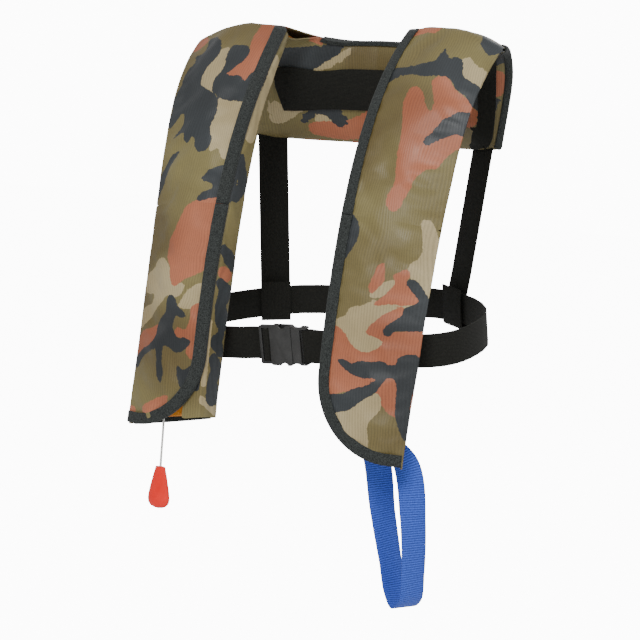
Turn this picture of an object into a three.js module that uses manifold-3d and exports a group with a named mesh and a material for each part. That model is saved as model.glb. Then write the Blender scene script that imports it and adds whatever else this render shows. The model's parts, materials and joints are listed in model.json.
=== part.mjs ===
// Inflatable life jacket: a fabric yoke over both shoulders, a waist belt with a side-release buckle,
// and a manual inflator under the flap of the wearer's right lobe.
// Millimetres, +Z up. The front faces -Y. The origin lies midway between the two shoulder peaks.
import * as THREE from "three";
import { mergeVertices } from "three/addons/utils/BufferGeometryUtils.js";
import Module from "manifold-3d";

// ---------------------------------------------------------------- driving dimensions
const gap = 0.35; // between pieces that touch
const ease = 0.6; // between cloth layers that curve over each other
const fabric = 2.0; // laminated cover cloth with its facing
const webbing = 1.6; // webbing thickness
const beltWidth = 38;

// yoke: front lobes
const lobeDrop = 483; // shoulder peak to the lowest corner
const neckHalf = 82; // centre to a shoulder peak
const neckTaper = 8; // how far a lobe's inner edge leans in below the peak
const shoulderHalf = 200; // centre to a shoulder corner
const shoulderTaper = 24; // how far a lobe's outer edge leans in below the corner
const shoulderFall = 18; // outer corner below the peak
const chestStart = 10; // inner edge's place ahead of the origin at the peak
const chestReach = 170; // how far the chest carries the inner edge forward
const chestCurve = 155; // drop over which it does so
const sideStart = 14; // the same for the outer edge
const sideReach = 70;
const sideCurve = 58;
const sideSlope = 0.158;
const lobeDepth = 36; // flap to back panel at the inner edge, low down
const shoulderDepth = 14; // the same at the shoulder
const depthCurve = 130; // drop over which the lobe thickens
const crown = 8; // how far the flap bulges
const lipWidth = 24; // turned lip under the flap's edge
const cornerHeight = 92; // height of the flap's round lower corner
const hemRise = 24; // how far the right back panel's hem rises towards the inner edge
const hemSweep = 91; // the same on the left, where the hem is cut round like the flap
const hingeDrop = 215; // where the opening part of the flap starts
const flapStop = 3; // flap's lowest edge above the lowest corner

// yoke: collar
const collarDepth = 20; // outer to inner cover
const necklineBack = 88; // back centre of the neckline behind the origin
const necklineFall = 5; // and below it
const collarBack = 112; // back centre of the lower edge
const collarHeight = 125; // neckline to lower edge at the back
const collarCornerX = 171;
const collarCornerY = 82;

// tapes
const bindingLeg = 12;
const bindingCloth = 0.6;
const tapeCloth = 0.9;
const bladderCloth = 6; // folded bladder in the low part of a lobe
const bladderSlope = 6; // how much its front comes forward towards the outer edge

// belt, in its own tilted plane
const beltLevel = -351.4;
const beltSideTilt = 0.075;
const beltForeTilt = 0.188;
const beltFront = -110;
const beltBack = 110;
const beltFlat = 150; // half of the straight front run
const beltBackFlat = 70; // half of the straight back run
const beltSide = 208; // belt's widest half
const beltMiddle = -30; // where it is widest

// buckle, in the belt's plane, x along the belt
const buckleHeight = 47;
const buckleThick = 12;
const socketLeft = -35;
const socketLength = 43;
const wall = 2.2;
const plugLength = 19;
const prongReach = 24;
const barWidth = 4;
const slotWidth = 3.8;

// straps
const strapTopX = 148;
const strapX = 126;
const yokeWebWidth = 50;
const loopWidth = 30;

// inflator, in the frame of its lobe
const inflatorDrop = 412;
const inflatorAcross = 40;
const inflatorDepth = 13;
const cylinderRadius = 12.5;
const cylinderLength = 98;
const neckRadius = 6.4;
const leverLength = 24;
const leverThick = 4;
const pinRadius = 1.5;
const cordRadius = 1.4;
const handleWidth = 29;
const handleHeight = 51;
const handleThick = 15;

// oral tube
const tubeDrop = 400;
const tubeAcross = 58;
const tubeDepth = 13.9;
const tubeRadius = 5.5;
const tubeLength = 92;

// ---------------------------------------------------------------- shared tools
const wasm = await Module();
wasm.setup();
const V = (x, y, z) => new THREE.Vector3(x, y, z);

const colours = {
  olive: [0x6e5f37, 0.55, 0],
  binding: [0x3c413e, 0.85, 0],
  webbing: [0x1c1c18, 0.8, 0],
  bladder: [0xe1820f, 0.5, 0],
  plastic: [0x222422, 0.45, 0],
  grey: [0x8d9092, 0.35, 0],
  steel: [0xb9bcc0, 0.3, 1],
  red: [0xfa4637, 0.35, 0],
  white: [0xeeeeea, 0.7, 0],
  blue: [0x2d55aa, 0.8, 0],
  green: [0x3f9b4b, 0.4, 0],
  silver: [0xd6d9dc, 0.3, 0],
};

const jacket = new THREE.Group();

function add(name, geometry, colour, parent = jacket) {
  const [color, roughness, metalness] = colours[colour];
  const material = new THREE.MeshStandardMaterial({ color, roughness, metalness });
  const mesh = new THREE.Mesh(outward(geometry), material);
  mesh.name = name;
  parent.add(mesh);
  return mesh;
}

// Turns a closed mesh's faces outwards.
function outward(geometry) {
  const bare = new THREE.BufferGeometry();
  bare.setAttribute("position", geometry.getAttribute("position").clone());
  if (geometry.index) bare.setIndex(geometry.index.clone());
  const merged = mergeVertices(bare, 1e-3);
  const p = merged.getAttribute("position");
  const index = merged.index.array;
  const [a, b, c] = [V(), V(), V()];
  let volume = 0;
  for (let i = 0; i < index.length; i += 3) {
    a.fromBufferAttribute(p, index[i]);
    b.fromBufferAttribute(p, index[i + 1]);
    c.fromBufferAttribute(p, index[i + 2]);
    volume += a.dot(b.cross(c));
  }
  if (volume < 0) {
    for (let i = 0; i < index.length; i += 3) {
      [index[i + 1], index[i + 2]] = [index[i + 2], index[i + 1]];
    }
  }
  merged.computeVertexNormals();
  return merged;
}

// Closed body through rings of points. A ring runs along one side of its section and back along the
// other with as many points, so each end closes with a ladder of quads.
function loft(rings) {
  const n = rings[0].length;
  const index = [];
  const quad = (a, b, c, d) => index.push(a, b, c, a, c, d);
  for (let r = 0; r < rings.length - 1; r++) {
    for (let i = 0; i < n; i++) {
      const j = (i + 1) % n;
      quad(r * n + i, r * n + j, (r + 1) * n + j, (r + 1) * n + i);
    }
  }
  const last = (rings.length - 1) * n;
  for (let i = 0; i < n / 2 - 1; i++) {
    quad(i, n - 1 - i, n - 2 - i, i + 1);
    quad(last + i, last + i + 1, last + n - 2 - i, last + n - 1 - i);
  }
  const g = new THREE.BufferGeometry().setFromPoints(rings.flat());
  g.setIndex(index);
  return g;
}

function solid(geometry) {
  const g = outward(geometry);
  const mesh = new wasm.Mesh({
    numProp: 3,
    vertProperties: new Float32Array(g.getAttribute("position").array),
    triVerts: new Uint32Array(g.index.array),
  });
  return new wasm.Manifold(mesh);
}

function fromSolid(manifold) {
  const mesh = manifold.getMesh();
  const g = new THREE.BufferGeometry();
  g.setAttribute("position", new THREE.BufferAttribute(new Float32Array(mesh.vertProperties), 3));
  g.setIndex(new THREE.BufferAttribute(new Uint32Array(mesh.triVerts), 1));
  return g;
}

const cut = (body, ...tools) => fromSolid(tools.reduce((s, t) => s.subtract(solid(t)), solid(body)));
const join = (...pieces) => fromSolid(pieces.map(solid).reduce((s, t) => s.add(t)));

function box(x0, x1, y0, y1, z0, z1) {
  const g = new THREE.BoxGeometry(x1 - x0, y1 - y0, z1 - z0);
  return g.translate((x0 + x1) / 2, (y0 + y1) / 2, (z0 + z1) / 2);
}

// Round bar between two heights along "x", "y" or "z".
function rod(radius, from, to, along = "z", sides = 20) {
  const g = new THREE.CylinderGeometry(radius, radius, to - from, sides);
  g.translate(0, (from + to) / 2, 0);
  if (along === "z") g.rotateX(Math.PI / 2);
  if (along === "x") g.rotateZ(-Math.PI / 2);
  return g;
}

// Turned shape about Z from [radius, height] pairs.
function turned(profile, sides = 24) {
  const points = profile.map(([r, h]) => new THREE.Vector2(r, h));
  return new THREE.LatheGeometry(points, sides).rotateX(Math.PI / 2);
}

// Plate with rounded corners in the XZ plane, from y0 to y1, with optional holes cut in its outline.
function plate(x0, x1, z0, z1, y0, y1, radius) {
  const s = new THREE.Shape();
  s.moveTo(x0 + radius, z0);
  s.lineTo(x1 - radius, z0);
  s.absarc(x1 - radius, z0 + radius, radius, -Math.PI / 2, 0);
  s.absarc(x1 - radius, z1 - radius, radius, 0, Math.PI / 2);
  s.absarc(x0 + radius, z1 - radius, radius, Math.PI / 2, Math.PI);
  s.absarc(x0 + radius, z0 + radius, radius, Math.PI, 1.5 * Math.PI);
  const g = new THREE.ExtrudeGeometry(s, { depth: y1 - y0, bevelEnabled: false, curveSegments: 4 });
  return g.rotateX(Math.PI / 2).translate(0, y1, 0);
}

// Flat webbing: a centreline in XY given a thickness, standing from -width/2 to width/2 in Z.
function band(centre, thickness, width) {
  const left = [];
  const right = [];
  centre.forEach((p, i) => {
    const before = centre[Math.max(i - 1, 0)];
    const after = centre[Math.min(i + 1, centre.length - 1)];
    const t = new THREE.Vector2().subVectors(after, before).normalize();
    const n = new THREE.Vector2(-t.y, t.x).multiplyScalar(thickness / 2);
    left.push(p.clone().add(n));
    right.push(p.clone().sub(n));
  });
  const outline = new THREE.Shape(left.concat(right.reverse()));
  const g = new THREE.ExtrudeGeometry(outline, { depth: width, bevelEnabled: false });
  return g.translate(0, 0, -width / 2);
}

// Ring of webbing around a rectangle lx by ly, as a sleeve of a given width in Z.
function sleeve(lx, ly, thickness, width, radius = 1.5) {
  const outline = roundRect(lx + 2 * thickness, ly + 2 * thickness, radius + thickness);
  outline.holes.push(roundRect(lx, ly, radius));
  const options = { depth: width, bevelEnabled: false, curveSegments: 3 };
  return new THREE.ExtrudeGeometry(outline, options).translate(0, 0, -width / 2);
}

function roundRect(lx, ly, radius) {
  const [x, y, r] = [lx / 2, ly / 2, Math.min(radius, lx / 2 - 0.01, ly / 2 - 0.01)];
  const s = new THREE.Shape();
  s.absarc(x - r, -y + r, r, -Math.PI / 2, 0);
  s.absarc(x - r, y - r, r, 0, Math.PI / 2);
  s.absarc(-x + r, y - r, r, Math.PI / 2, Math.PI);
  s.absarc(-x + r, -y + r, r, Math.PI, 1.5 * Math.PI);
  return s;
}

// ---------------------------------------------------------------- the yoke's surface
// A place on the yoke is (s, a, d): s runs from -1 at the back centre over 0 at the shoulder line to 1 at
// the lowest corner, a is the distance from the inner edge and d the depth towards the body.
// These give the wearer's left half; the other half is its mirror image.
const linear = 0.4; // share of a lobe's drop that grows evenly with s
const dropAt = (s) => lobeDrop * s * (linear + (1 - linear) * s);
const sAt = (drop) =>
  (-linear + Math.sqrt(linear ** 2 + (4 * (1 - linear) * drop) / lobeDrop)) / (2 * (1 - linear));

const fade = (x) => 1 - Math.exp(-x);
const smooth = (x, from, to) => THREE.MathUtils.smoothstep(x, from, to);

const neckline = new THREE.CatmullRomCurve3([
  V(0, necklineBack, -necklineFall),
  V(neckHalf * 0.5, necklineBack - 7, -necklineFall - 1),
  V(neckHalf * 0.85, necklineBack - 38, -necklineFall + 1),
  V(neckHalf, -chestStart, 0),
]);
const lowerEdge = new THREE.CatmullRomCurve3([
  V(0, collarBack, -necklineFall - collarHeight),
  V(collarCornerX * 0.62, collarBack - 7, -necklineFall - collarHeight),
  V(collarCornerX, collarCornerY, -necklineFall - collarHeight + 2),
]);
const sideEdge = new THREE.CatmullRomCurve3([
  V(collarCornerX, collarCornerY, -necklineFall - collarHeight + 2),
  V((collarCornerX + shoulderHalf) / 2 - 1, collarCornerY - 20, -necklineFall - collarHeight * 0.32),
  V((collarCornerX + shoulderHalf) / 2 + 4, collarCornerY - 48, -shoulderFall),
  V(shoulderHalf, -sideStart, -shoulderFall),
]);
const cornerS = -0.42; // where the collar's lower corner lies

function innerEdge(s) {
  if (s <= 0) return neckline.getPoint(THREE.MathUtils.clamp(s + 1, 0, 1));
  const drop = dropAt(s);
  const x = neckHalf - neckTaper * fade(drop / 40);
  return V(x, -chestStart - chestReach * fade(drop / chestCurve), -drop);
}

function outerEdge(s) {
  if (s <= cornerS) return lowerEdge.getPoint(THREE.MathUtils.clamp((s + 1) / (cornerS + 1), 0, 1));
  if (s <= 0) return sideEdge.getPoint((s - cornerS) / -cornerS);
  const drop = dropAt(s);
  const x = shoulderHalf - shoulderTaper * fade(drop / 200);
  const fall = shoulderFall * (1 - drop / lobeDrop);
  return V(x, -sideStart - sideReach * fade(drop / sideCurve) - sideSlope * drop, -drop - fall);
}

function edges(s) {
  if (s >= -1) return [innerEdge(s), outerEdge(s)];
  return edges(-2 - s).map((p) => V(-p.x, p.y, p.z));
}

function frame(s) {
  const middle = (t) => {
    const [i, o] = edges(t);
    return i.add(o);
  };
  const step = 0.03;
  const [inner, outer] = edges(s);
  const along = middle(s + step).sub(middle(s - step)).normalize();
  const across = outer.clone().sub(inner);
  const width = across.length();
  across.normalize();
  const out = along.clone().cross(across).normalize();
  return { inner, across, out, along, width };
}

const mirroredS = (s) => (s < -1 ? -2 - s : s);

function depthAt(s) {
  const m = mirroredS(s);
  if (m >= 0) return shoulderDepth + (lobeDepth - shoulderDepth) * fade(dropAt(m) / depthCurve);
  return THREE.MathUtils.lerp(collarDepth, shoulderDepth, smooth(m, -0.6, 0));
}

const bulge = (f) => crown * Math.sin(Math.PI * THREE.MathUtils.clamp(f, 0, 1)) ** 0.8;

// A point under the bulging outer skin, and one in the plain frame of the two edges.
function skin(s, a, d) {
  const f = frame(s);
  return plain(s, a, d - bulge(a / f.width));
}

function plain(s, a, d) {
  const f = frame(s);
  return f.inner.addScaledVector(f.across, a).addScaledVector(f.out, -d);
}

const span = (from, to, count) =>
  Array.from({ length: count + 1 }, (_, i) => from + ((to - from) * i) / count);

// Depth of the back panel's middle at a share f of the lobe's width.
const backDepth = (s, f) => (depthAt(s) - fabric / 2 - 4) * (1 - f ** 3) + 4;

// Depth of the collar's inner cover at a share f of its width.
function innerDepth(s, share) {
  const f = THREE.MathUtils.clamp(share, 0, 1);
  const neckSide = THREE.MathUtils.lerp(fabric * 1.5 + gap, depthAt(s) - fabric, smooth(mirroredS(s), -0.35, 0));
  const bow = Math.sin(Math.PI * f) ** 0.6;
  const edge = THREE.MathUtils.lerp(neckSide, fabric * 1.5 + gap, f);
  return edge + Math.max(depthAt(s) - fabric - edge, 0) * bow;
}

// A sheet between two depths, as a ring of points at one s: outer side one way, inner side back.
function sheetRing(s, from, to, cells, outerPoint, innerPoint) {
  const outer = span(from, to, cells).map((a) => outerPoint(s, a));
  const inner = span(to, from, cells).map((a) => innerPoint(s, a));
  return outer.concat(inner);
}

const width = (s) => frame(s).width;

// ---------------------------------------------------------------- fabric of the yoke
function collarOuter() {
  const seam = gap / 2 / 200;
  const ends = span(-2 + seam, -seam, 20);
  const inset = bindingCloth + gap;
  return loft(
    ends.map((s) =>
      sheetRing(s, inset, width(s), 8, (t, a) => skin(t, a, 0), (t, a) => skin(t, a, fabric)),
    ),
  );
}

function collarInner() {
  const seam = gap / 2 / 200;
  const inset = bindingCloth + gap;
  const at = (half) => (s, a) => plain(s, a, innerDepth(s, a / width(s)) + half);
  return loft(
    span(-2 + seam, -seam, 20).map((s) =>
      sheetRing(s, inset, width(s), 8, at(-fabric / 2), at(fabric / 2)),
    ),
  );
}

// The flap's rim as [distance from the inner edge, drop] pairs: straight, then a quarter ellipse to the
// lowest corner, all of it moved in by an inset.
const edgeInset = bindingCloth + gap;
const cornerStart = lobeDrop - flapStop - cornerHeight;
function flapRim(inset) {
  const straight = span(hingeDrop + gap, cornerStart, 5).map((drop) => [inset, drop]);
  const round = span(1, 12, 11).map((i) => {
    const turn = (i / 12.6) * (Math.PI / 2);
    const drop = cornerStart + (cornerHeight - inset) * Math.sin(turn);
    const reach = width(sAt(drop)) - bindingLeg - inset;
    return [inset + reach * (1 - Math.cos(turn)), drop];
  });
  return straight.concat(round);
}

// Sheet from the rim to the outer edge.
function frontSheet(rim) {
  return loft(
    rim.map(([from, drop]) => {
      const s = sAt(drop);
      return sheetRing(s, from, width(s), 8, (t, a) => skin(t, a, 0), (t, a) => skin(t, a, fabric));
    }),
  );
}

// U-shaped tape around an edge: [distance in from the edge, depth] pairs round its section.
function tapeSection(leg, cloth, clear) {
  const b = bindingCloth;
  const out = [-clear - b, -clear];
  const inn = [cloth + clear, cloth + clear + b];
  return [
    [leg, out[0]], [leg / 2, out[0]], [-b / 2, out[0]],
    [-b / 2, inn[1]], [leg / 2, inn[1]], [leg, inn[1]],
    [leg, inn[0]], [leg / 2, inn[0]], [b / 2, inn[0]],
    [b / 2, out[1]], [leg / 2, out[1]], [leg, out[1]],
  ];
}

// Tape along an edge given as [a, drop] pairs; legs point to the sheet's side of the edge.
function edgeTape(path, section) {
  return loft(
    path.map(([a, drop], i) => {
      const [a0, d0] = path[Math.max(i - 1, 0)];
      const [a1, d1] = path[Math.min(i + 1, path.length - 1)];
      const t = new THREE.Vector2(a1 - a0, d1 - d0).normalize();
      return section.map(([g, depth]) => skin(sAt(drop - g * t.x), a + g * t.y, depth));
    }),
  );
}

const upperRim = (inset, from) => span(from, hingeDrop - gap, 9).map((drop) => [inset, drop]);
const flapTape = tapeSection(bindingLeg - 1, fabric, 1.5 * ease);
const upperTape = tapeSection(bindingLeg, fabric, ease);

// The tape round the neckline holds both covers.
function neckBinding() {
  const leg = 5;
  const b = bindingCloth;
  return loft(
    span(-1.6, -0.4, 20).map((s) => {
      const share = leg / width(s);
      const over = -bulge(share) - 2 * ease;
      const under = innerDepth(s, share) + fabric / 2 + 3 * ease;
      return [
        plain(s, leg, over - b), plain(s, -b / 2, -2 * ease - b),
        plain(s, -b / 2, under + b), plain(s, leg, under + b),
        plain(s, leg, under), plain(s, b / 2, under),
        plain(s, b / 2, -2 * ease), plain(s, leg, over),
      ];
    }),
  );
}

// How far a lobe's hem lies above its lowest corner at a share of its width.
function hemAt(side, share) {
  const f = THREE.MathUtils.clamp(share, 0, 1);
  return side === "left" ? hemSweep * (1 - f ** 0.6) : hemRise * (1 - f);
}

// Back panel of a lobe: turned lip, side wall, and the panel on the body, ending in a slanted hem.
function backPanelRing(side, drop, lip) {
  const hem = (a, w) => drop - (drop / lobeDrop) ** 3 * hemAt(side, a / w);
  const w = width(sAt(drop));
  const deep = depthAt(sAt(drop));
  const lipAt = fabric + 2 * tapeCloth + 2 * ease + gap;
  const half = fabric / 2;
  const back = [0.1, 0.25, 0.42, 0.58, 0.73, 0.86, 0.96];
  const point = (a, d) => plain(sAt(hem(a, w)), a, d);
  const lipPoint = (a, d) => skin(sAt(hem(a, w)), a, d);
  const panel = (f, d) => point(f * w, backDepth(sAt(drop), f) + d);
  const outside = [
    lipPoint(lip, lipAt),
    lipPoint(lip / 2, lipAt),
    lipPoint(2, lipAt),
    point(0.5, lipAt + fabric + 0.5),
    point(0.5, deep - 3),
    point(3, deep),
    ...back.map((f) => panel(f, half)),
  ];
  const inside = [
    ...back.toReversed().map((f) => panel(f, -half)),
    point(3 + half, deep - fabric),
    point(0.5 + fabric, deep - 3 - half),
    point(0.5 + fabric, lipAt + fabric + 0.5),
    lipPoint(lip / 2, lipAt + fabric),
    lipPoint(lip, lipAt + fabric),
  ];
  return outside.concat(inside);
}

function backPanel(side) {
  return loft(span(gap / 2, lobeDrop, 14).map((drop) => backPanelRing(side, drop, lipWidth)));
}

// Folded bladder in a lobe: fills it near the shoulder and lies thin behind the inflator lower down.
const bladderEnd = { right: 14, left: 28 }; // bladder's lower end above the hem
const leastCloth = 2.5; // the bladder's thinnest part
function bladderFront(s) {
  const lip = 2 * fabric + 2 * tapeCloth + 3 * ease + 2 * gap;
  const deep = depthAt(s) - fabric - gap - bladderCloth;
  return THREE.MathUtils.lerp(lip, Math.max(deep, lip), smooth(dropAt(s), 190, 260));
}

function bladderLobe(side) {
  return loft(
    span(gap, lobeDrop - bladderEnd[side], 12).map((drop) => {
      const low = (f, s) => backDepth(s, f) - fabric / 2 - ease - gap;
      const shares = [0.06, 0.2, 0.36, 0.52, 0.66, 0.78];
      const at = (f, d) => {
        const rise = (drop / lobeDrop) ** 3 * hemAt(side, f);
        return plain(sAt(drop - rise), f * width(sAt(drop)), d);
      };
      const s = sAt(drop);
      const front = (f) => Math.min(bladderFront(s) - bladderSlope * f ** 3, low(f, s) - leastCloth);
      return shares
        .map((f) => at(f, front(f)))
        .concat(shares.toReversed().map((f) => at(f, low(f, s))));
    }),
  );
}

function bladderCollar() {
  const clear = fabric + ease;
  return loft(
    span(-1.985, -0.015, 20).map((s) => {
      const shares = [0.16, 0.3, 0.45, 0.6, 0.75, 0.86];
      const w = width(s);
      const front = (f) => clear + 2 - bulge(f);
      const back = (f) => Math.max(innerDepth(s, f) - clear - 2, front(f) + 2);
      return shares
        .map((f) => plain(s, f * w, front(f)))
        .concat(shares.toReversed().map((f) => plain(s, f * w, back(f))));
    }),
  );
}

// A flat strip that follows the skin at one depth.
function strip(fromDrop, toDrop, a, wide, depth, thick, count = 6) {
  return loft(
    span(fromDrop, toDrop, count).map((drop) => {
      const s = sAt(drop);
      const ring = (d) => [skin(s, a, d), skin(s, a + wide / 2, d), skin(s, a + wide, d)];
      return ring(depth).concat(ring(depth + thick).reverse());
    }),
  );
}

// Hem tape around the back panel's lower edge, over its outer and inner side.
function hemBinding(side) {
  const b = bindingCloth;
  const leg = bindingLeg;
  const shares = [0.1, 0.25, 0.42, 0.58, 0.73, 0.86, 0.95];
  return loft(
    shares.map((f) => {
      const drop = lobeDrop;
      const w = width(sAt(drop));
      const low = drop - hemAt(side, f);
      const half = fabric / 2 + gap;
      const at = (up, d) => {
        const s = sAt(low - up);
        return plain(s, f * w, backDepth(sAt(drop - up), f) + d);
      };
      return [
        at(leg, -half - b), at(-gap - b, -half - b), at(-gap - b, half + b), at(leg, half + b),
        at(leg, half), at(-gap, half), at(-gap, -half), at(leg, -half),
      ];
    }),
  );
}

add("collar_outer", collarOuter(), "olive");
add("collar_inner", collarInner(), "olive");
add("bladder_collar", bladderCollar(), "bladder");
add("neck_binding", neckBinding(), "binding");

const tapeStart = hingeDrop + 12;
const tapeEnd = cornerStart - 6;
const tapeInset = bindingLeg + 1;
const sides = [
  ["right", -1],
  ["left", 1],
];
// The wearer's left is +X; the other side mirrors it.
for (const [side, sign] of sides) {
  const half = new THREE.Group();
  half.scale.x = sign;
  jacket.add(half);
  add(`front_upper_${side}`, frontSheet(upperRim(edgeInset, gap / 2)), "olive", half);
  add(`upper_binding_${side}`, edgeTape(upperRim(0, 2), upperTape), "binding", half);
  add(`flap_${side}`, frontSheet(flapRim(edgeInset)), "olive", half);
  add(`flap_binding_${side}`, edgeTape(flapRim(0), flapTape), "binding", half);
  add(`back_panel_${side}`, backPanel(side), "olive", half);
  add(`hem_binding_${side}`, hemBinding(side), "binding", half);
  add(`bladder_${side}`, bladderLobe(side), "bladder", half);
  const hookDepth = fabric + ease;
  const loopDepth = hookDepth + tapeCloth + gap;
  const tapeRun = [tapeStart, tapeEnd, tapeInset, lipWidth - tapeInset];
  add(`hook_tape_${side}`, strip(...tapeRun, hookDepth, tapeCloth), "webbing", half);
  add(`loop_tape_${side}`, strip(...tapeRun, loopDepth, tapeCloth), "webbing", half);
}

// ---------------------------------------------------------------- lines on the collar's inner face
// The place on the collar's inner face at a given x and z, lifted off the face.
function onCollar(x, z, lift) {
  const across = (s) => {
    const f = frame(s);
    return (z - f.inner.z) / f.across.z;
  };
  let [low, high] = [-1, -0.25];
  for (let i = 0; i < 30; i++) {
    const s = (low + high) / 2;
    if (plain(s, across(s), 0).x < Math.abs(x)) low = s;
    else high = s;
  }
  const a = across(low);
  const p = plain(low, a, innerDepth(low, a / width(low)) + fabric / 2 + lift);
  return V(Math.sign(x || 1) * p.x, p.y, p.z);
}

const yokeWebTop = -38;
const yokeWebHalf = 128;
const yokeLift = 3.4 * ease;
function yokeWebbing() {
  const heights = [0, 0.5, 1].map((f) => yokeWebTop - f * yokeWebWidth);
  return loft(
    span(-yokeWebHalf, yokeWebHalf, 22).map((x) =>
      heights
        .map((z) => onCollar(x, z, yokeLift + webbing))
        .concat(heights.toReversed().map((z) => onCollar(x, z, yokeLift))),
    ),
  );
}
add("yoke_webbing", yokeWebbing(), "webbing");

// ---------------------------------------------------------------- waist belt
// The belt lies in one tilted plane. Its group has X along the front run and Y towards the back.
function planeGroup(origin, xAxis, zAxis) {
  const y = zAxis.clone().cross(xAxis).normalize();
  const x = y.clone().cross(zAxis).normalize();
  const group = new THREE.Group();
  group.applyMatrix4(new THREE.Matrix4().makeBasis(x, y, zAxis.clone().normalize()));
  group.position.copy(origin);
  return group;
}

const beltUp = V(-beltSideTilt, -beltForeTilt, 1).normalize();
const beltPlane = planeGroup(V(0, 0, beltLevel), V(1, 0, beltSideTilt), beltUp);
jacket.add(beltPlane);

const layer = webbing + 0.45; // centre to centre of two webbing layers
const beltStart = 104; // where the fixed belt starts behind the wearer's left lobe
const tailEnd = -92; // end of the folded tail on the socket's side
const front = beltFront;

// Socket bars, from the end inwards: end bar, slot, middle bar, slot.
const endBar = [socketLeft, socketLeft + 3.5];
const middleBar = [endBar[1] + slotWidth, endBar[1] + slotWidth + barWidth];
const barThick = 6;
const turn = 2.5; // centreline radius of the webbing at a bar's corner
const lift = barThick / 2 + gap + webbing / 2;

function beltCentre() {
  const p = new THREE.Path();
  const inner = middleBar[1] + slotWidth / 2;
  const outer = middleBar[0] - slotWidth / 2;
  p.moveTo(tailEnd, front + layer);
  p.lineTo(socketLeft - 28, front + layer);
  p.lineTo(socketLeft - 12, front + lift + layer);
  p.lineTo(inner - turn, front + lift + layer);
  p.absarc(inner - turn, front + lift + layer - turn, turn, Math.PI / 2, 0, true);
  p.lineTo(inner, front - lift + turn);
  p.absarc(inner - turn, front - lift + turn, turn, 0, -Math.PI / 2, true);
  p.lineTo(outer + turn, front - lift);
  p.absarc(outer + turn, front - lift + turn, turn, -Math.PI / 2, -Math.PI, true);
  p.lineTo(outer, front + lift - turn);
  p.absarc(outer - turn, front + lift - turn, turn, 0, Math.PI / 2, false);
  p.lineTo(socketLeft - 10, front + lift);
  p.lineTo(socketLeft - 26, front);
  p.lineTo(-beltFlat, front);
  aroundSide(p, -1);
  p.lineTo(beltBackFlat, beltBack);
  aroundSide(p, 1);
  p.lineTo(beltStart, front);
  return dedupe(p.getPoints(8));
}

// From the front run to the back run on the wearer's right (-1), or back to front on the left (1).
function aroundSide(path, sign) {
  const side = sign * beltSide;
  const middle = [side, beltMiddle];
  const early = [sign * (beltFlat + 46), front];
  const ahead = [side, beltMiddle - 52];
  const behind = [side, beltMiddle + 62];
  const late = [sign * (beltBackFlat + 66), beltBack];
  if (sign < 0) {
    path.bezierCurveTo(...early, ...ahead, ...middle);
    path.bezierCurveTo(...behind, ...late, sign * beltBackFlat, beltBack);
  } else {
    path.bezierCurveTo(...late, ...behind, ...middle);
    path.bezierCurveTo(...ahead, ...early, beltFlat, front);
  }
}

function dedupe(points) {
  return points.filter((p, i) => i === 0 || p.distanceTo(points[i - 1]) > 0.05);
}

add("belt_main", band(beltCentre(), webbing, beltWidth), "webbing", beltPlane);

// ---------------------------------------------------------------- side-release buckle
const half = buckleHeight / 2;
const slotHeight = beltWidth + 2;
const mouth = socketLeft + socketLength;
const shellStart = middleBar[1] + slotWidth;

function onFront(geometry) {
  return geometry.translate(0, front, 0);
}

function socket() {
  const bodyY = buckleThick / 2;
  const cavity = bodyY - wall;
  const base = join(
    plate(shellStart, mouth, -half, half, -bodyY, bodyY, 3),
    plate(socketLeft, shellStart + 2, -half + 0.5, half - 0.5, -barThick / 2, barThick / 2, 2),
  );
  const windowStart = mouth - 17;
  return onFront(
    cut(
      base,
      box(endBar[1], middleBar[0], -barThick, barThick, -slotHeight / 2, slotHeight / 2),
      box(middleBar[1], shellStart, -barThick, barThick, -slotHeight / 2, slotHeight / 2),
      box(shellStart + 4, mouth + 1, -cavity, cavity, -half + wall + 1, half - wall - 1),
      box(windowStart, mouth - 5, -cavity, cavity, -half - 1, half + 1),
      rod(5, -bodyY - 1, -cavity + 0.4, "y").translate(mouth - 11, 0, half + 1.5),
      rod(5, -bodyY - 1, -cavity + 0.4, "y").translate(mouth - 11, 0, -half - 1.5),
    ),
  );
}
add("buckle_socket", socket(), "plastic", beltPlane);

const plugStart = mouth + gap;
const plugEnd = plugStart + plugLength;
const plugBar = [plugEnd - barWidth, plugEnd];
const tongueHalf = 5;

function plug() {
  const thick = buckleThick / 2 - 0.6;
  const cavity = buckleThick / 2 - wall - gap;
  const base = join(
    plate(plugStart, plugEnd, -half + 1, half - 1, -thick, thick, 2.5),
    plate(plugStart - prongReach * 0.55, plugStart + 2, -tongueHalf, tongueHalf, -cavity, cavity, 1.5),
  );
  return onFront(
    cut(
      base,
      box(plugBar[0] - slotWidth, plugBar[0], -thick - 1, thick + 1, -slotHeight / 2, slotHeight / 2),
      box(plugBar[0] - 0.1, plugEnd + 1, barThick / 2 - 1, thick + 1, -slotHeight / 2, slotHeight / 2),
      box(plugBar[0] - 0.1, plugEnd + 1, -thick - 1, 1 - barThick / 2, -slotHeight / 2, slotHeight / 2),
      rod(9, -thick - 1, thick + 1, "y", 28).translate(plugStart + 5, 0, half + 6),
      rod(9, -thick - 1, thick + 1, "y", 28).translate(plugStart + 5, 0, -half - 6),
      box(plugStart - 1, plugStart + 2, -cavity - 1, cavity + 1, tongueHalf + 1.5, half - 3.5),
      box(plugStart - 1, plugStart + 2, -cavity - 1, cavity + 1, -half + 3.5, -tongueHalf - 1.5),
    ),
  );
}
add("buckle_plug", plug(), "plastic", beltPlane);

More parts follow.
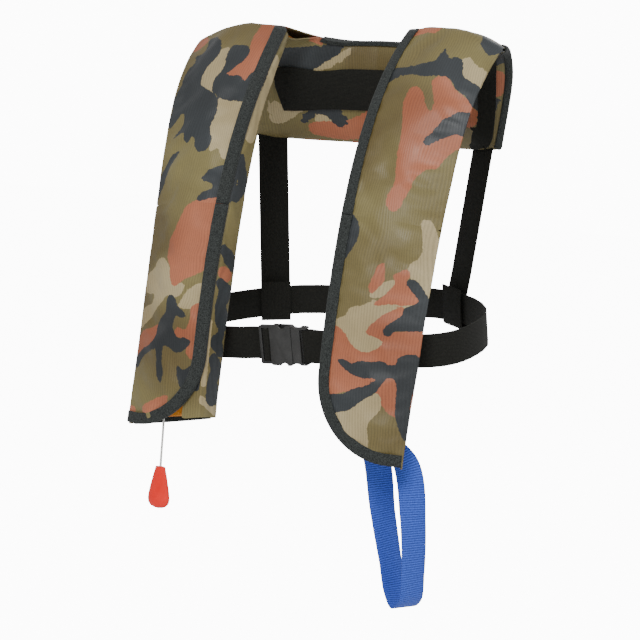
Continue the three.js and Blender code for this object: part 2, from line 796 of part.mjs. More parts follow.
const prongRoot = plugStart + 2 - gap;
const prongOuter = half - wall - 1 - gap;
const prongThick = buckleThick / 2 - wall - 2 * gap;
for (const [name, up] of [["prong_upper", 1], ["prong_lower", -1]]) {
  const s = new THREE.Shape();
  const tip = plugStart - prongReach;
  s.moveTo(prongRoot, up * (prongOuter - 7.5));
  s.lineTo(prongRoot, up * (prongOuter - 1.5));
  s.lineTo(plugStart - 5, up * (prongOuter - 1.2));
  s.lineTo(plugStart - 7, up * prongOuter);
  s.quadraticCurveTo(plugStart - 14, up * (prongOuter + 0.1), tip + 4, up * (prongOuter - 2));
  s.quadraticCurveTo(tip, up * (prongOuter - 4), tip + 1, up * (prongOuter - 7));
  s.lineTo(plugStart - 8, up * (prongOuter - 5.5));
  const g = new THREE.ExtrudeGeometry(s, { depth: 2 * prongThick, bevelEnabled: false, curveSegments: 4 });
  add(name, onFront(g.rotateX(Math.PI / 2).translate(0, prongThick, 0)), "plastic", beltPlane);
}

// The plug's webbing turns round its end bar; both layers run in front of the fixed belt.
function plugWebbing() {
  const p = new THREE.Path();
  const bar = (plugBar[0] + plugBar[1]) / 2;
  const rise = barThick / 2 + gap + webbing / 2;
  const reach = rise;
  p.moveTo(beltFlat + 2, front - 2 * layer);
  p.lineTo(plugEnd + 20, front - 2 * layer);
  p.lineTo(bar, front - rise);
  p.absellipse(bar, front, reach, rise, -Math.PI / 2, -1.5 * Math.PI, true);
  p.lineTo(plugEnd + 3, front + rise);
  p.lineTo(plugEnd + 22, front - layer);
  p.lineTo(plugEnd + 60, front - layer);
  return band(dedupe(p.getPoints(6)), webbing, beltWidth);
}
add("belt_plug_webbing", plugWebbing(), "webbing", beltPlane);

// Webbing loops on the back panels and the elastic keeper on the tail, all rings about the belt.
function beltRing(x, centreY, deep, wide, thickness) {
  const ring = sleeve(beltWidth + 2.4, deep, thickness, wide);
  return ring.rotateY(Math.PI / 2).translate(x, centreY, 0);
}
const loopX = 118;
const threeLayers = 3 * layer + 1.2;
add("belt_loop_left", beltRing(loopX, front - layer, threeLayers, 22, webbing), "webbing", beltPlane);
add("belt_loop_right", beltRing(-loopX, front, webbing + 1.2, 22, webbing), "webbing", beltPlane);
const keeperX = plugEnd + 30;
const keeperWide = 12;
const keeper = beltRing(keeperX, front - 1.5 * layer, 2 * layer + 0.6, keeperWide, 1);
add("tail_keeper", keeper, "webbing", beltPlane);

// ---------------------------------------------------------------- back straps
beltPlane.updateMatrixWorld(true);
const beltPoints = beltCentre();
function beltBackAt(x) {
  const near = beltPoints
    .filter((p) => p.y > 20)
    .toSorted((a, b) => Math.abs(a.x - x) - Math.abs(b.x - x));
  const [a, b] = near[0].x < near[1].x ? near : [near[1], near[0]];
  const f = (x - a.x) / (b.x - a.x);
  return [a.clone().lerp(b, f), b.clone().sub(a).normalize()];
}

const strapFold = layer + 2.5; // room for the belt's bend across the strap
for (const [side, sign] of sides) {
  const [at, tangent] = beltBackAt(sign * strapX);
  const origin = beltPlane.localToWorld(V(at.x, at.y, 0));
  const sideways = V(tangent.x, tangent.y, 0).transformDirection(beltPlane.matrixWorld);
  const top = onCollar(sign * strapTopX, -necklineFall - collarHeight + 1, 0);
  const up = top.clone().sub(origin);
  const rise = up.length() - gap;
  const outwardWay = sideways.clone().cross(up).normalize();
  if (outwardWay.y < 0) outwardWay.negate();
  const strapPlane = planeGroup(origin, outwardWay, outwardWay.clone().cross(up).normalize());
  jacket.add(strapPlane);
  // Folded round the belt, whose width leans from the strap's run.
  const lean = Math.atan2(-beltUp.dot(outwardWay), beltUp.dot(up.clone().normalize()));
  const low = -beltWidth / 2 - 1.4;
  const p = new THREE.Path();
  p.moveTo(-strapFold, beltWidth / 2 + 7);
  p.lineTo(-strapFold, low);
  p.absarc(0, low, strapFold, Math.PI, 2 * Math.PI, false);
  p.lineTo(strapFold, beltWidth / 2);
  const fold = p.getPoints(6).map((q) => q.rotateAround(new THREE.Vector2(), lean));
  const run = [new THREE.Vector2(0.4, beltWidth / 2 + 26), new THREE.Vector2(0, rise - 2)];
  add(`back_strap_${side}`, band(dedupe(fold.concat(run)), webbing, beltWidth), "webbing", strapPlane);
}

// The wearer's left strap is carried up over the collar's inner face to the yoke webbing.
function strapExtension() {
  const low = -necklineFall - collarHeight + 3;
  const high = yokeWebTop - yokeWebWidth - 2;
  return loft(
    span(low, high, 4).map((z) => {
      const xs = [-0.5, 0, 0.5].map((f) => strapTopX - 4 + f * beltWidth * 0.9);
      return xs
        .map((x) => onCollar(x, z, yokeLift))
        .concat(xs.toReversed().map((x) => onCollar(x, z, yokeLift + webbing)));
    }),
  );
}
add("strap_extension", strapExtension(), "webbing");

// ---------------------------------------------------------------- lifting loop
// Points down one leg, round and up the other, with the webbing's width direction at each.
function liftLoop() {
  const seat = (drop, a) => {
    const s = sAt(drop);
    return plain(s, a, backDepth(s, a / width(s)) + fabric / 2 + 3 * ease + webbing / 2);
  };
  const lie = (a) => seat(435, a + 8).sub(seat(435, a - 8)).normalize();
  const [near, far] = [lie(40), lie(74)];
  const hung = V(0.52, 0.86, 0).normalize();
  const route = [
    [seat(396, 40), near], [seat(424, 40), near], [V(126, -113, -482), near.clone().lerp(hung, 0.3)],
    [V(136, -107, -543), near.clone().lerp(hung, 0.8)],
    [V(149, -104, -600), hung], [V(158, -106, -632), hung], [V(172, -116, -645), hung],
    [V(186, -126, -633), hung], [V(189, -131, -605), hung],
    [V(184, -131, -543), far.clone().lerp(hung, 0.8)], [V(168, -123, -485), far.clone().lerp(hung, 0.3)],
    [seat(446, 74), far], [seat(420, 74), far],
  ];
  const curve = new THREE.CatmullRomCurve3(route.map(([p]) => p));
  const steps = 40;
  return loft(
    span(0, 1, steps).map((t) => {
      const along = t * (route.length - 1);
      const i = Math.min(Math.floor(along), route.length - 2);
      const p = curve.getPoint(t);
      const tangent = curve.getTangent(t);
      const wide = route[i][1].clone().lerp(route[i + 1][1], along - i);
      wide.addScaledVector(tangent, -wide.dot(tangent)).normalize();
      const thick = tangent.clone().cross(wide);
      const corner = (u, v) =>
        p.clone().addScaledVector(wide, u * loopWidth / 2).addScaledVector(thick, v * webbing / 2);
      return [corner(-1, -1), corner(1, -1), corner(1, 1), corner(-1, 1)];
    }),
  );
}
add("lift_loop", liftLoop(), "blue");

// ---------------------------------------------------------------- inflator
// A group at a place in a lobe: X away from the inner edge, Y towards the body, Z up the lobe.
function lobeGroup(side, drop, a, d) {
  const s = sAt(drop);
  const f = frame(s);
  const mirror = new THREE.Group();
  mirror.scale.x = side;
  jacket.add(mirror);
  const group = planeGroup(plain(s, a, d), f.across, f.along.clone().negate());
  mirror.add(group);
  return group;
}

const inflator = lobeGroup(-1, inflatorDrop, inflatorAcross, inflatorDepth);
const block = { x: 13, y: 10.5, low: -24, high: 20 };
const pivot = { x: 5, z: -14 };
const portDepth = 9.4;
const stem = { x: -7.6, z: 5, radius: 3.4 };
const boreEase = 0.06; // running clearance of the lever on its pin
const pinHole = pinRadius + boreEase;
const pierceRadius = 1.4;

function inflatorBody() {
  const b = block;
  return cut(
    plate(-b.x, b.x, b.low, b.high, -b.y, b.y, 3),
    rod(neckRadius + gap, b.high - portDepth, b.high + 1, "z", 28),
    rod(pierceRadius + 0.3, -1, b.high, "z"),
    box(-3, b.x + 1, -leverThick / 2 - gap, leverThick / 2 + gap, b.low - 1, 0),
    rod(pinHole, -b.y - 1, b.y + 1, "y").translate(pivot.x, 0, pivot.z),
    rod(stem.radius + gap, -b.y - 1, b.y + 1, "y").translate(stem.x, 0, stem.z),
  );
}
add("inflator_body", inflatorBody(), "plastic", inflator);

function lever() {
  const s = new THREE.Shape();
  s.absarc(0, 0, 5, Math.PI * 0.62, Math.PI * 1.9, false);
  s.lineTo(leverLength - 2, -2.6);
  s.absarc(leverLength - 1, 0, 3.4, -Math.PI / 2, Math.PI / 2, false);
  s.lineTo(5, 3);
  const g = new THREE.ExtrudeGeometry(s, { depth: leverThick, bevelEnabled: false, curveSegments: 10 });
  g.rotateX(Math.PI / 2).translate(0, leverThick / 2, 0);
  const eye = rod(1.2, -5, 5, "y").translate(leverLength - 1, 0, 0);
  const arm = cut(g, rod(pinHole + boreEase, -5, 5, "y", 28), eye);
  return arm.rotateY(-Math.PI / 4).translate(pivot.x, 0, pivot.z);
}
add("inflator_lever", lever(), "grey", inflator);
add("lever_pin", rod(pinRadius, -9, 9, "y", 24).translate(pivot.x, 0, pivot.z), "steel", inflator);
add("pierce_pin", turned([[0, -4], [pierceRadius, -4], [pierceRadius, 4], [0.3, 6.4], [0, 6.4]]), "steel", inflator);

const shoulder = block.high + 2.6;
const washer = turned([
  [neckRadius + gap, block.high + gap], [9.4, block.high + gap],
  [9.4, shoulder - gap], [neckRadius + gap, shoulder - gap], [neckRadius + gap, block.high + gap],
]);
add("cylinder_washer", washer, "plastic", inflator);

function gasCylinder() {
  const low = block.high - portDepth + gap;
  const high = low + cylinderLength;
  const r = cylinderRadius;
  return turned([
    [0, low], [neckRadius, low], [neckRadius, shoulder], [neckRadius + 2.6, shoulder],
    [r - 2.4, shoulder + 4], [r, shoulder + 10], [r, high - 9], [r - 2.2, high - 3.4],
    [r - 6.5, high - 0.6], [0, high],
  ]);
}
add("gas_cylinder", gasCylinder(), "steel", inflator);

function manifoldStem() {
  const y = block.y;
  const flange = rod(9, y + gap + 0.2, y + gap + 2, "y", 28);
  const shaft = rod(stem.radius, -y - 2.2, y + gap + 1, "y", 20);
  return join(flange, shaft).translate(stem.x, 0, stem.z);
}
add("manifold_stem", manifoldStem(), "steel", inflator);

function capNut() {
  const y = -block.y;
  const hex = rod(5.6, y - 3.4, y - gap, "y", 6);
  return cut(hex, rod(stem.radius + 0.2, y - 2.6, y + 1, "y", 20)).translate(stem.x, 0, stem.z);
}
add("manifold_nut", capNut(), "steel", inflator);

const clipY = -block.y - gap;
const clip = plate(pivot.x - 3, pivot.x + 7, pivot.z - 6, pivot.z + 3.5, clipY - 1.6, clipY, 1.5);
add("status_clip", clip, "green", inflator);

// ---------------------------------------------------------------- pull cord and handle
// Down from the lever's eye, out under the flap and into the handle.
const cordPoints = [
  V(-132.8, -144.6, -417.4), V(-132.4, -146.6, -424), V(-131.8, -150.2, -434), V(-130.9, -154, -445),
  V(-129.8, -157, -456), V(-128.8, -158.4, -468), V(-128.6, -158.5, -480), V(-128.8, -158.5, -494),
  V(-129.1, -158.5, -512), V(-129.2, -158.5, -531),
];
const handleTop = V(-129.2, -158.5, -526);

function pullCord() {
  const route = new THREE.CatmullRomCurve3(cordPoints);
  const section = new THREE.Shape();
  span(0, 7, 7).forEach((i) => {
    const a = (i * Math.PI) / 4;
    const way = i ? "lineTo" : "moveTo";
    section[way](cordRadius * Math.cos(a), cordRadius * Math.sin(a));
  });
  return new THREE.ExtrudeGeometry(section, { steps: 18, bevelEnabled: false, extrudePath: route });
}
add("pull_cord", pullCord(), "white");

function pullHandle() {
  const [w, h] = [handleWidth / 2, handleHeight];
  const drop = turned([
    [0, 0], [w * 0.42, 0], [w * 0.5, -h * 0.05], [w * 0.64, -h * 0.24], [w * 0.86, -h * 0.52],
    [w, -h * 0.74], [w * 0.93, -h * 0.87], [w * 0.66, -h * 0.96], [w * 0.3, -h * 0.995], [0, -h],
  ].toReversed(), 20);
  drop.scale(1, handleThick / handleWidth, 1);
  return cut(drop, rod(cordRadius + gap, -5 - gap, 1, "z", 16)).translate(...handleTop.toArray());
}
add("pull_handle", pullHandle(), "red");

// ---------------------------------------------------------------- oral inflation tube and whistle
const oral = lobeGroup(1, tubeDrop, tubeAcross, tubeDepth);
const tubeStart = 7;
const tubeTop = tubeStart + tubeLength;
const flangeDepth = 7.1; // its welded face, behind the tube's axis
const tubeBore = tubeRadius - 1.5;
const insert = tubeBore - gap;

function oralFlange() {
  return join(
    rod(11, flangeDepth - 1.6, flangeDepth, "y", 28),
    rod(6, -4, flangeDepth - 1, "y", 24),
    rod(insert, 0, tubeStart + 11, "z", 20),
  );
}
add("oral_flange", oralFlange(), "bladder", oral);

const ring = (inner, outer, low, high) =>
  turned([[inner, low], [outer, low], [outer, high], [inner, high], [inner, low]]);
add("oral_tube", ring(tubeBore, tubeRadius, tubeStart, tubeTop), "plastic", oral);

const valveHigh = tubeTop + gap + 12;
const plungerRadius = 2.4;
const valve = turned([
  [0, tubeTop - 8], [insert, tubeTop - 8], [insert, tubeTop + gap], [7.2, tubeTop + gap],
  [7.2, valveHigh - 1], [6.4, valveHigh], [plungerRadius + gap, valveHigh],
  [plungerRadius + gap, tubeTop + 2], [0, tubeTop + 2],
]);
add("oral_valve", valve, "plastic", oral);
const plungerTravel = 2.5;
const plungerLow = tubeTop + 2 + gap + plungerTravel;
const plunger = turned([
  [0, plungerLow], [plungerRadius, plungerLow], [plungerRadius, valveHigh + 1.5], [0, valveHigh + 1.5],
]);
add("valve_plunger", plunger, "red", oral);

const capLow = tubeTop + 4;
const capHigh = valveHigh + 4;
const cap = turned([
  [7.2 + gap, capLow], [8.8, capLow], [8.8, capHigh - 1], [7.8, capHigh], [0, capHigh],
  [0, capHigh - 1.6], [7.2 + gap, capHigh - 1.6], [7.2 + gap, capLow],
]);
add("dust_cap", cap, "red", oral);

const whistleX = -26;
function whistleBody() {
  return cut(
    plate(whistleX - 8, whistleX + 8, 20, 64, -5.5, 5.5, 4),
    box(whistleX - 5.5, whistleX + 5.5, -3.8, 3.8, 30, 65),
    box(whistleX - 5.5, whistleX + 5.5, -7, -3, 44, 48),
    rod(2, -7, 7, "y", 16).translate(whistleX, 0, 25),
  );
}
add("whistle", whistleBody(), "red", oral);

// Elastic band round the tube and the whistle.
const bandWide = tubeRadius - (whistleX - 8);
const holder = sleeve(bandWide + 1.2, 2 * tubeRadius + 1.2, 1, 10, 0.6);
holder.translate((tubeRadius + whistleX - 8) / 2, 0, 40);
add("whistle_band", holder, "webbing", oral);

export default jacket;
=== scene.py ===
"""Looks of an inflatable life jacket: camouflage cover, black webbing, side-release buckle, manual
inflator with its red handle, and a blue lifting loop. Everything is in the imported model's frame."""

import functools
import json
import math

import bmesh
import bpy
import numpy as np
from mathutils import Matrix, Vector, kdtree, noise


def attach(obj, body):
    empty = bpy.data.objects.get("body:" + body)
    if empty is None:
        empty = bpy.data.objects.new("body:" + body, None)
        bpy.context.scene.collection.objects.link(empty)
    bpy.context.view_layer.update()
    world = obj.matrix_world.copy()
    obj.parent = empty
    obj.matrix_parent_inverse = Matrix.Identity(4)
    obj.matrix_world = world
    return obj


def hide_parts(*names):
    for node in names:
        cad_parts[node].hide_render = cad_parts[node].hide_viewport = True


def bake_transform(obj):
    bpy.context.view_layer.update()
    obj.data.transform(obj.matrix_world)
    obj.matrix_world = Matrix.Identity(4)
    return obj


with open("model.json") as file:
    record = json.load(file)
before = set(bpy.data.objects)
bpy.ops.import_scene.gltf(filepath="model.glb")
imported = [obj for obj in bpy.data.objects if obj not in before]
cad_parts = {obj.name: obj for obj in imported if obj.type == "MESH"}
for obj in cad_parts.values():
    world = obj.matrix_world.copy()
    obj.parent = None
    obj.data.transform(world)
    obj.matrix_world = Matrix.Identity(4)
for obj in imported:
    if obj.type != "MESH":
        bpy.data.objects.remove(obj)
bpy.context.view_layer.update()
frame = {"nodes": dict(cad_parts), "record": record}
MM = 0.001


# ---- camera
def place_camera():
    """A long lens in front, a little to the wearer's left, held slightly turned."""
    azimuth, elevation, roll = (math.radians(v) for v in (27, 6, 4))
    distance, target = 1.8, Vector((-0.014, 0, -0.351))
    level = math.cos(elevation)
    back = Vector((math.sin(azimuth) * level, -math.cos(azimuth) * level, math.sin(elevation)))
    right = Vector((math.cos(azimuth), math.sin(azimuth), 0))
    up = back.cross(right)
    right, up = (
        right * math.cos(roll) + up * math.sin(roll),
        up * math.cos(roll) - right * math.sin(roll),
    )
    data = bpy.data.cameras.new("camera")
    data.sensor_width = 36
    data.lens = 82.97
    camera = bpy.data.objects.new("camera", data)
    bpy.context.scene.collection.objects.link(camera)
    turn = Matrix((right, up, back)).transposed().to_4x4()
    camera.matrix_world = Matrix.Translation(target + back * distance) @ turn
    bpy.context.scene.camera = camera


place_camera()


# ---- finishes
class Finish:
    """A node material around one Principled shader."""

    def __init__(self, name, roughness, **sockets):
        self.material = bpy.data.materials.new(name)
        self.material.use_nodes = True
        self.nodes = self.material.node_tree.nodes
        self.shader = self.nodes["Principled BSDF"]
        self.shader.inputs["Roughness"].default_value = roughness
        for key, value in sockets.items():
            self.shader.inputs[key.replace("_", " ")].default_value = value
        self.place = self.add("ShaderNodeTexCoord").outputs["Object"]

    def add(self, kind, **settings):
        node = self.nodes.new(kind)
        for key, value in settings.items():
            setattr(node, key, value)
        return node

    def join(self, source, node, socket):
        self.material.node_tree.links.new(source, node.inputs[socket])
        return node

    def scaled(self, *scale):
        node = self.join(self.place, self.add("ShaderNodeMapping"), "Vector")
        node.inputs["Scale"].default_value = scale
        return node.outputs[0]

    def noise(self, scale, detail=2, place=None):
        node = self.join(place or self.place, self.add("ShaderNodeTexNoise"), "Vector")
        node.inputs["Scale"].default_value = scale
        node.inputs["Detail"].default_value = detail
        return node.outputs["Fac"]

    def wave(self, direction, scale, distortion=0, place=None, spacing=1.5):
        node = self.add("ShaderNodeTexWave", bands_direction=direction)
        self.join(place or self.place, node, "Vector")
        node.inputs["Scale"].default_value = scale
        node.inputs["Distortion"].default_value = distortion
        node.inputs["Detail Scale"].default_value = spacing
        return node.outputs["Fac"]

    def spread(self, value, low, high, to_low, to_high):
        node = self.join(value, self.add("ShaderNodeMapRange"), "Value")
        for key, v in zip(("From Min", "From Max", "To Min", "To Max"), (low, high, to_low, to_high)):
            node.inputs[key].default_value = v
        return node.outputs[0]

    def sum(self, a, b):
        node = self.join(a, self.add("ShaderNodeMath", operation="ADD"), 0)
        return self.join(b, node, 1).outputs[0]

    def blend(self, share, low, high, mode="MIX"):
        """Mixes two colours or sockets by a share, which may be a socket too."""
        node = self.add("ShaderNodeMix", data_type="RGBA", blend_type=mode)
        for key, v in ((0, share), (6, low), (7, high)):
            if hasattr(v, "is_linked"):
                self.join(v, node, key)
            elif key:
                node.inputs[key].default_value = (*v, 1)
            else:
                node.inputs[key].default_value = v
        return node.outputs[2]

    def colour(self, source):
        self.join(source, self.shader, "Base Color")

    def rough(self, source, low, high):
        self.join(self.spread(source, 0.3, 0.7, low, high), self.shader, "Roughness")

    def bump(self, *heights):
        """Stacks [height, distance in mm, strength] bumps."""
        last = None
        for height, distance, strength in heights:
            node = self.join(height, self.add("ShaderNodeBump"), "Height")
            node.inputs["Distance"].default_value = distance * MM
            node.inputs["Strength"].default_value = strength
            if last:
                self.join(last, node, "Normal")
            last = node.outputs[0]
        self.join(last, self.shader, "Normal")

    def attribute(self, name):
        return self.add("ShaderNodeAttribute", attribute_name=name).outputs["Fac"]


def camouflage():
    """Satin cloth printed in four colours. The print's outlines are distances kept on the mesh, in mm."""
    f = Finish("camouflage_cloth", 0.5, Specular_IOR_Level=0.38, Sheen_Weight=0.03)
    wobble = f.spread(f.noise(300, 3), 0.3, 0.7, -0.7, 0.7)
    cloud = f.spread(f.noise(7, 2), 0.38, 0.62, 0, 1)
    last = f.blend(cloud, (0.12, 0.088, 0.028), (0.215, 0.178, 0.068))
    prints = (
        ("tan", (0.33, 0.255, 0.125), (0.46, 0.375, 0.205)),
        ("rust", (0.30, 0.088, 0.036), (0.46, 0.155, 0.078)),
        ("dark", (0.018, 0.021, 0.023), (0.036, 0.042, 0.046)),
    )
    for name, low, high in prints:
        ink = f.blend(cloud, low, high)
        edge = f.sum(f.attribute(name), wobble)
        last = f.blend(f.spread(edge, 0.3, -0.3, 0, 1), last, ink)
    # Painted shade: moiré wave bands darken the colour down to 0.8 in the hollows of the same bands that
    # ripple the bump. The cloth has no such bands of its own.
    moire_ripple_and_shade = f.wave("X", 105, 34, f.scaled(1, 1, 0.35), 0.13)
    grain = f.spread(f.noise(900, 1), 0.3, 0.7, -0.05, 0.09)
    shade = f.sum(f.spread(moire_ripple_and_shade, 0, 1, 0.8, 1.02), grain)
    f.colour(f.blend(1.0, last, f.blend(shade, (0, 0, 0), (1, 1, 1)), "MULTIPLY"))
    f.rough(f.noise(24, 3), 0.4, 0.56)
    f.bump((f.noise(22, 3), 2.4, 0.6), (moire_ripple_and_shade, 0.16, 0.5), (f.noise(1500, 1), 0.12, 0.5))
    return f.material


def grosgrain():
    """Fuzzy folded tape, charcoal, with a fine speckled bump."""
    f = Finish("binding_grosgrain", 0.9, Specular_IOR_Level=0.15, Sheen_Weight=0.08)
    speck = f.noise(900, 3)
    share = f.spread(speck, 0.35, 0.65, 0, 1)
    f.colour(f.blend(share, (0.012, 0.0135, 0.013), (0.052, 0.058, 0.055)))
    f.bump((f.noise(120, 2), 0.8, 0.4), (speck, 0.5, 0.7))
    return f.material


def woven(name, direction, low, high, pitch=1.5, roughness=0.78):
    """Webbing whose yarn lines stand across `direction`, pitch in mm."""
    f = Finish(name, roughness, Specular_IOR_Level=0.16, Sheen_Weight=0.03)
    lines = f.wave(direction, 1000 / pitch / 10 * math.pi, 0.4)
    fleck = f.noise(700, 2)
    shade = f.sum(f.spread(lines, 0, 1, 0, 0.55), f.spread(fleck, 0.3, 0.7, 0, 0.45))
    f.colour(f.blend(shade, low, high))
    f.bump((lines, 0.35, 0.6), (fleck, 0.2, 0.6))
    return f.material


def ribbed_blue():
    """Blue webbing with ribs across it, along the piece's own UV map."""
    f = Finish("blue_ribbed_webbing", 0.62, Specular_IOR_Level=0.25, Sheen_Weight=0.05)
    f.place = f.add("ShaderNodeTexCoord").outputs["UV"]
    ribs = f.wave("X", 1.2, 0.6, f.scaled(100, 100, 100))
    warp = f.wave("Y", 3, 0.3, f.scaled(100, 100, 100))
    fleck = f.noise(600, 2)
    shade = f.sum(f.spread(ribs, 0, 1, 0, 0.6), f.spread(fleck, 0.3, 0.7, 0, 0.4))
    f.colour(f.blend(shade, (0.01, 0.03, 0.2), (0.07, 0.16, 0.82)))
    f.bump((ribs, 0.6, 0.7), (warp, 0.2, 0.4), (fleck, 0.2, 0.4))
    return f.material


def moulded(name, low, high, roughness, grain=300, metal=0, dulled=0.0):
    """Moulded plastic or worked metal with a fine skin; dulled takes some of its shine away."""
    f = Finish(name, roughness, Metallic=metal, Specular_IOR_Level=0.5 - dulled)
    cloud = f.noise(60, 3)
    f.colour(f.blend(f.spread(cloud, 0.3, 0.7, 0, 1), low, high))
    f.rough(f.noise(140, 2), roughness - 0.08, roughness + 0.1)
    f.bump((f.noise(grain * 4, 2), 0.12, 0.4), (f.noise(40, 2), 0.3, 0.15))
    return f.material


def coated_nylon():
    """Orange bladder cloth, creased, with painted shade darker in the creases' hollows."""
    f = Finish("bladder_coated_cloth", 0.42, Specular_IOR_Level=0.5, Sheen_Weight=0.1)
    crease_and_painted_shade = f.noise(45, 5)
    # Painted shade: the colour follows the crease noise, darker in its hollows and lighter on its ridges.
    f.colour(f.blend(f.spread(crease_and_painted_shade, 0.3, 0.7, 0, 1), (0.62, 0.17, 0.006), (0.86, 0.33, 0.02)))
    f.bump((crease_and_painted_shade, 2.5, 0.8), (f.wave("Z", 220, 0.6), 0.15, 0.3))
    return f.material


def braided_cord():
    """White braid with leaning strands."""
    f = Finish("cord_braid", 0.7, Sheen_Weight=0.2)
    strands = f.wave("DIAGONAL", 130, 0.5)
    f.colour(f.blend(f.spread(strands, 0, 1, 0, 1), (0.55, 0.54, 0.5), (0.88, 0.87, 0.83)))
    f.bump((strands, 0.4, 0.8))
    return f.material


BLACK_LOW, BLACK_HIGH = (0.003, 0.003, 0.0024), (0.021, 0.021, 0.017)
CAMO = camouflage()
TAPE = grosgrain()
WEB_LEVEL = woven("webbing_level", "Z", BLACK_LOW, BLACK_HIGH)
WEB_UPRIGHT = woven("webbing_upright", "X", BLACK_LOW, BLACK_HIGH)
ELASTIC = woven("elastic_band", "Z", (0.008, 0.008, 0.008), (0.045, 0.045, 0.045), 1.0)
HOOK = woven("touch_tape", "X", (0.01, 0.01, 0.01), (0.05, 0.05, 0.05), 0.8, 0.95)
BLUE = ribbed_blue()
ORANGE = coated_nylon()
CORD = braided_cord()
BLACK_PLASTIC = moulded("black_acetal", (0.02, 0.02, 0.019), (0.036, 0.036, 0.035), 0.4)
GREY_PLASTIC = moulded("grey_nylon", (0.26, 0.26, 0.27), (0.36, 0.36, 0.37), 0.45)
RUBBER = moulded("washer_rubber", (0.012, 0.012, 0.012), (0.03, 0.03, 0.03), 0.7)
RED_PLASTIC = moulded("red_moulded", (0.86, 0.018, 0.01), (0.96, 0.032, 0.018), 0.36, dulled=0.22)
GREEN_PLASTIC = moulded("green_clip", (0.03, 0.24, 0.05), (0.06, 0.36, 0.09), 0.4)
STEEL = moulded("brushed_steel", (0.42, 0.42, 0.44), (0.62, 0.62, 0.64), 0.3, 500, 1)
FLANGE = moulded("welded_flange", (0.6, 0.17, 0.01), (0.78, 0.27, 0.02), 0.5)


# ---- the yoke's surface, in millimetres
# A place is (s, a, d): s runs from -1 at the back centre over 0 at the shoulder line to 1 at the lowest
# corner of the wearer's left lobe, and from -1 down to -3 on the right. a is the distance from the inner
# edge and d the depth towards the body.
LOBE_DROP = 483
CORNER_S = -0.42  # where the collar's lower edge turns into its side edge
CROWN = 8  # how far the cover stands proud of its edges
COVER = 2.0  # thickness of the cover cloth
GAP = 0.35  # room kept between two layers of cloth
SHOULDER_DEPTH, LOBE_DEPTH, COLLAR_DEPTH = 14, 36, 20


def drop_at(s):
    """How far a place on a lobe lies below the shoulder, in millimetres."""
    return LOBE_DROP * s * (0.4 + 0.6 * s)


def s_at(drop):
    return (-0.4 + math.sqrt(0.16 + 2.4 * drop / LOBE_DROP)) / 1.2


def fade(x):
    """Rises from 0 towards 1, fast at first."""
    return 1 - math.exp(-x)


def smooth(x, low, high):
    """0 below low, 1 above high, with an even rise between."""
    t = min(max((x - low) / (high - low), 0), 1)
    return t * t * (3 - 2 * t)


def mix(a, b, t):
    return a + (b - a) * t


def catmull(points, t):
    """The point at share t of a centripetal spline through the points."""
    points = [np.array(p, float) for p in points]
    along = min(max(t, 0), 1) * (len(points) - 1)
    i = min(int(along), len(points) - 2)
    w = along - i
    p1, p2 = points[i], points[i + 1]
    p0 = points[i - 1] if i else 2 * p1 - p2
    p3 = points[i + 2] if i + 2 < len(points) else 2 * p2 - p1
    d0, d1, d2 = (math.sqrt(np.linalg.norm(b - a)) for a, b in ((p0, p1), (p1, p2), (p2, p3)))
    t1 = ((p1 - p0) / d0 - (p2 - p0) / (d0 + d1) + (p2 - p1) / d1) * d1
    t2 = ((p2 - p1) / d1 - (p3 - p1) / (d1 + d2) + (p3 - p2) / d2) * d1
    return p1 + t1 * w + (3 * (p2 - p1) - 2 * t1 - t2) * w**2 + (2 * (p1 - p2) + t1 + t2) * w**3


NECKLINE = [(0, 88, -5), (41, 81, -6), (69.7, 50, -4), (82, -10, 0)]
LOWER_EDGE = [(0, 112, -130), (106, 105, -130), (171, 82, -128)]
SIDE_EDGE = [(171, 82, -128), (184.5, 62, -45), (189.5, 34, -18), (200, -14, -18)]


def inner_edge(s):
    if s <= 0:
        return catmull(NECKLINE, s + 1)
    drop = drop_at(s)
    return np.array([82 - 8 * fade(drop / 40), -10 - 170 * fade(drop / 155), -drop])


def outer_edge(s):
    if s <= CORNER_S:
        return catmull(LOWER_EDGE, (s + 1) / (CORNER_S + 1))
    if s <= 0:
        return catmull(SIDE_EDGE, (s - CORNER_S) / -CORNER_S)
    drop = drop_at(s)
    y = -14 - 70 * fade(drop / 58) - 0.158 * drop
    return np.array([200 - 24 * fade(drop / 200), y, -drop - 18 * (1 - drop / LOBE_DROP)])


def edges(s):
    if s >= -1:
        return inner_edge(s), outer_edge(s)
    return tuple(p * (-1, 1, 1) for p in edges(-2 - s))


def unit(v):
    return v / np.linalg.norm(v)


@functools.lru_cache(None)
def section(s):
    """inner point, way across, way out, way along and width of the yoke at s."""
    inner, outer = edges(s)
    along = unit(sum(edges(s + 0.03)) - sum(edges(s - 0.03)))
    across = unit(outer - inner)
    return inner, across, unit(np.cross(along, across)), along, np.linalg.norm(outer - inner)


def width(s):
    return section(s)[4]


def half_s(s):
    """The place on the left half that mirrors s."""
    return -2 - s if s < -1 else s


def depth_at(s):
    m = half_s(s)
    if m >= 0:
        return mix(SHOULDER_DEPTH, LOBE_DEPTH, fade(drop_at(m) / 130))
    return mix(COLLAR_DEPTH, SHOULDER_DEPTH, smooth(m, -0.6, 0))


def bulge(share):
    """The cover's crown at a share of the width."""
    return CROWN * math.sin(math.pi * min(max(share, 0), 1)) ** 0.8


def plain(s, a, d):
    """A place below the flat face that joins the two edges."""
    inner, across, out, _, _ = section(s)
    return inner + across * a - out * d


def skin(s, a, d):
    """A place below the crowned cover."""
    return plain(s, a, d - bulge(a / width(s)))


def back_depth(s, share):
    """Depth of the lobe's back, which closes on the cover at the outer edge."""
    return (depth_at(s) - COVER / 2 - 4) * (1 - share**3) + 4


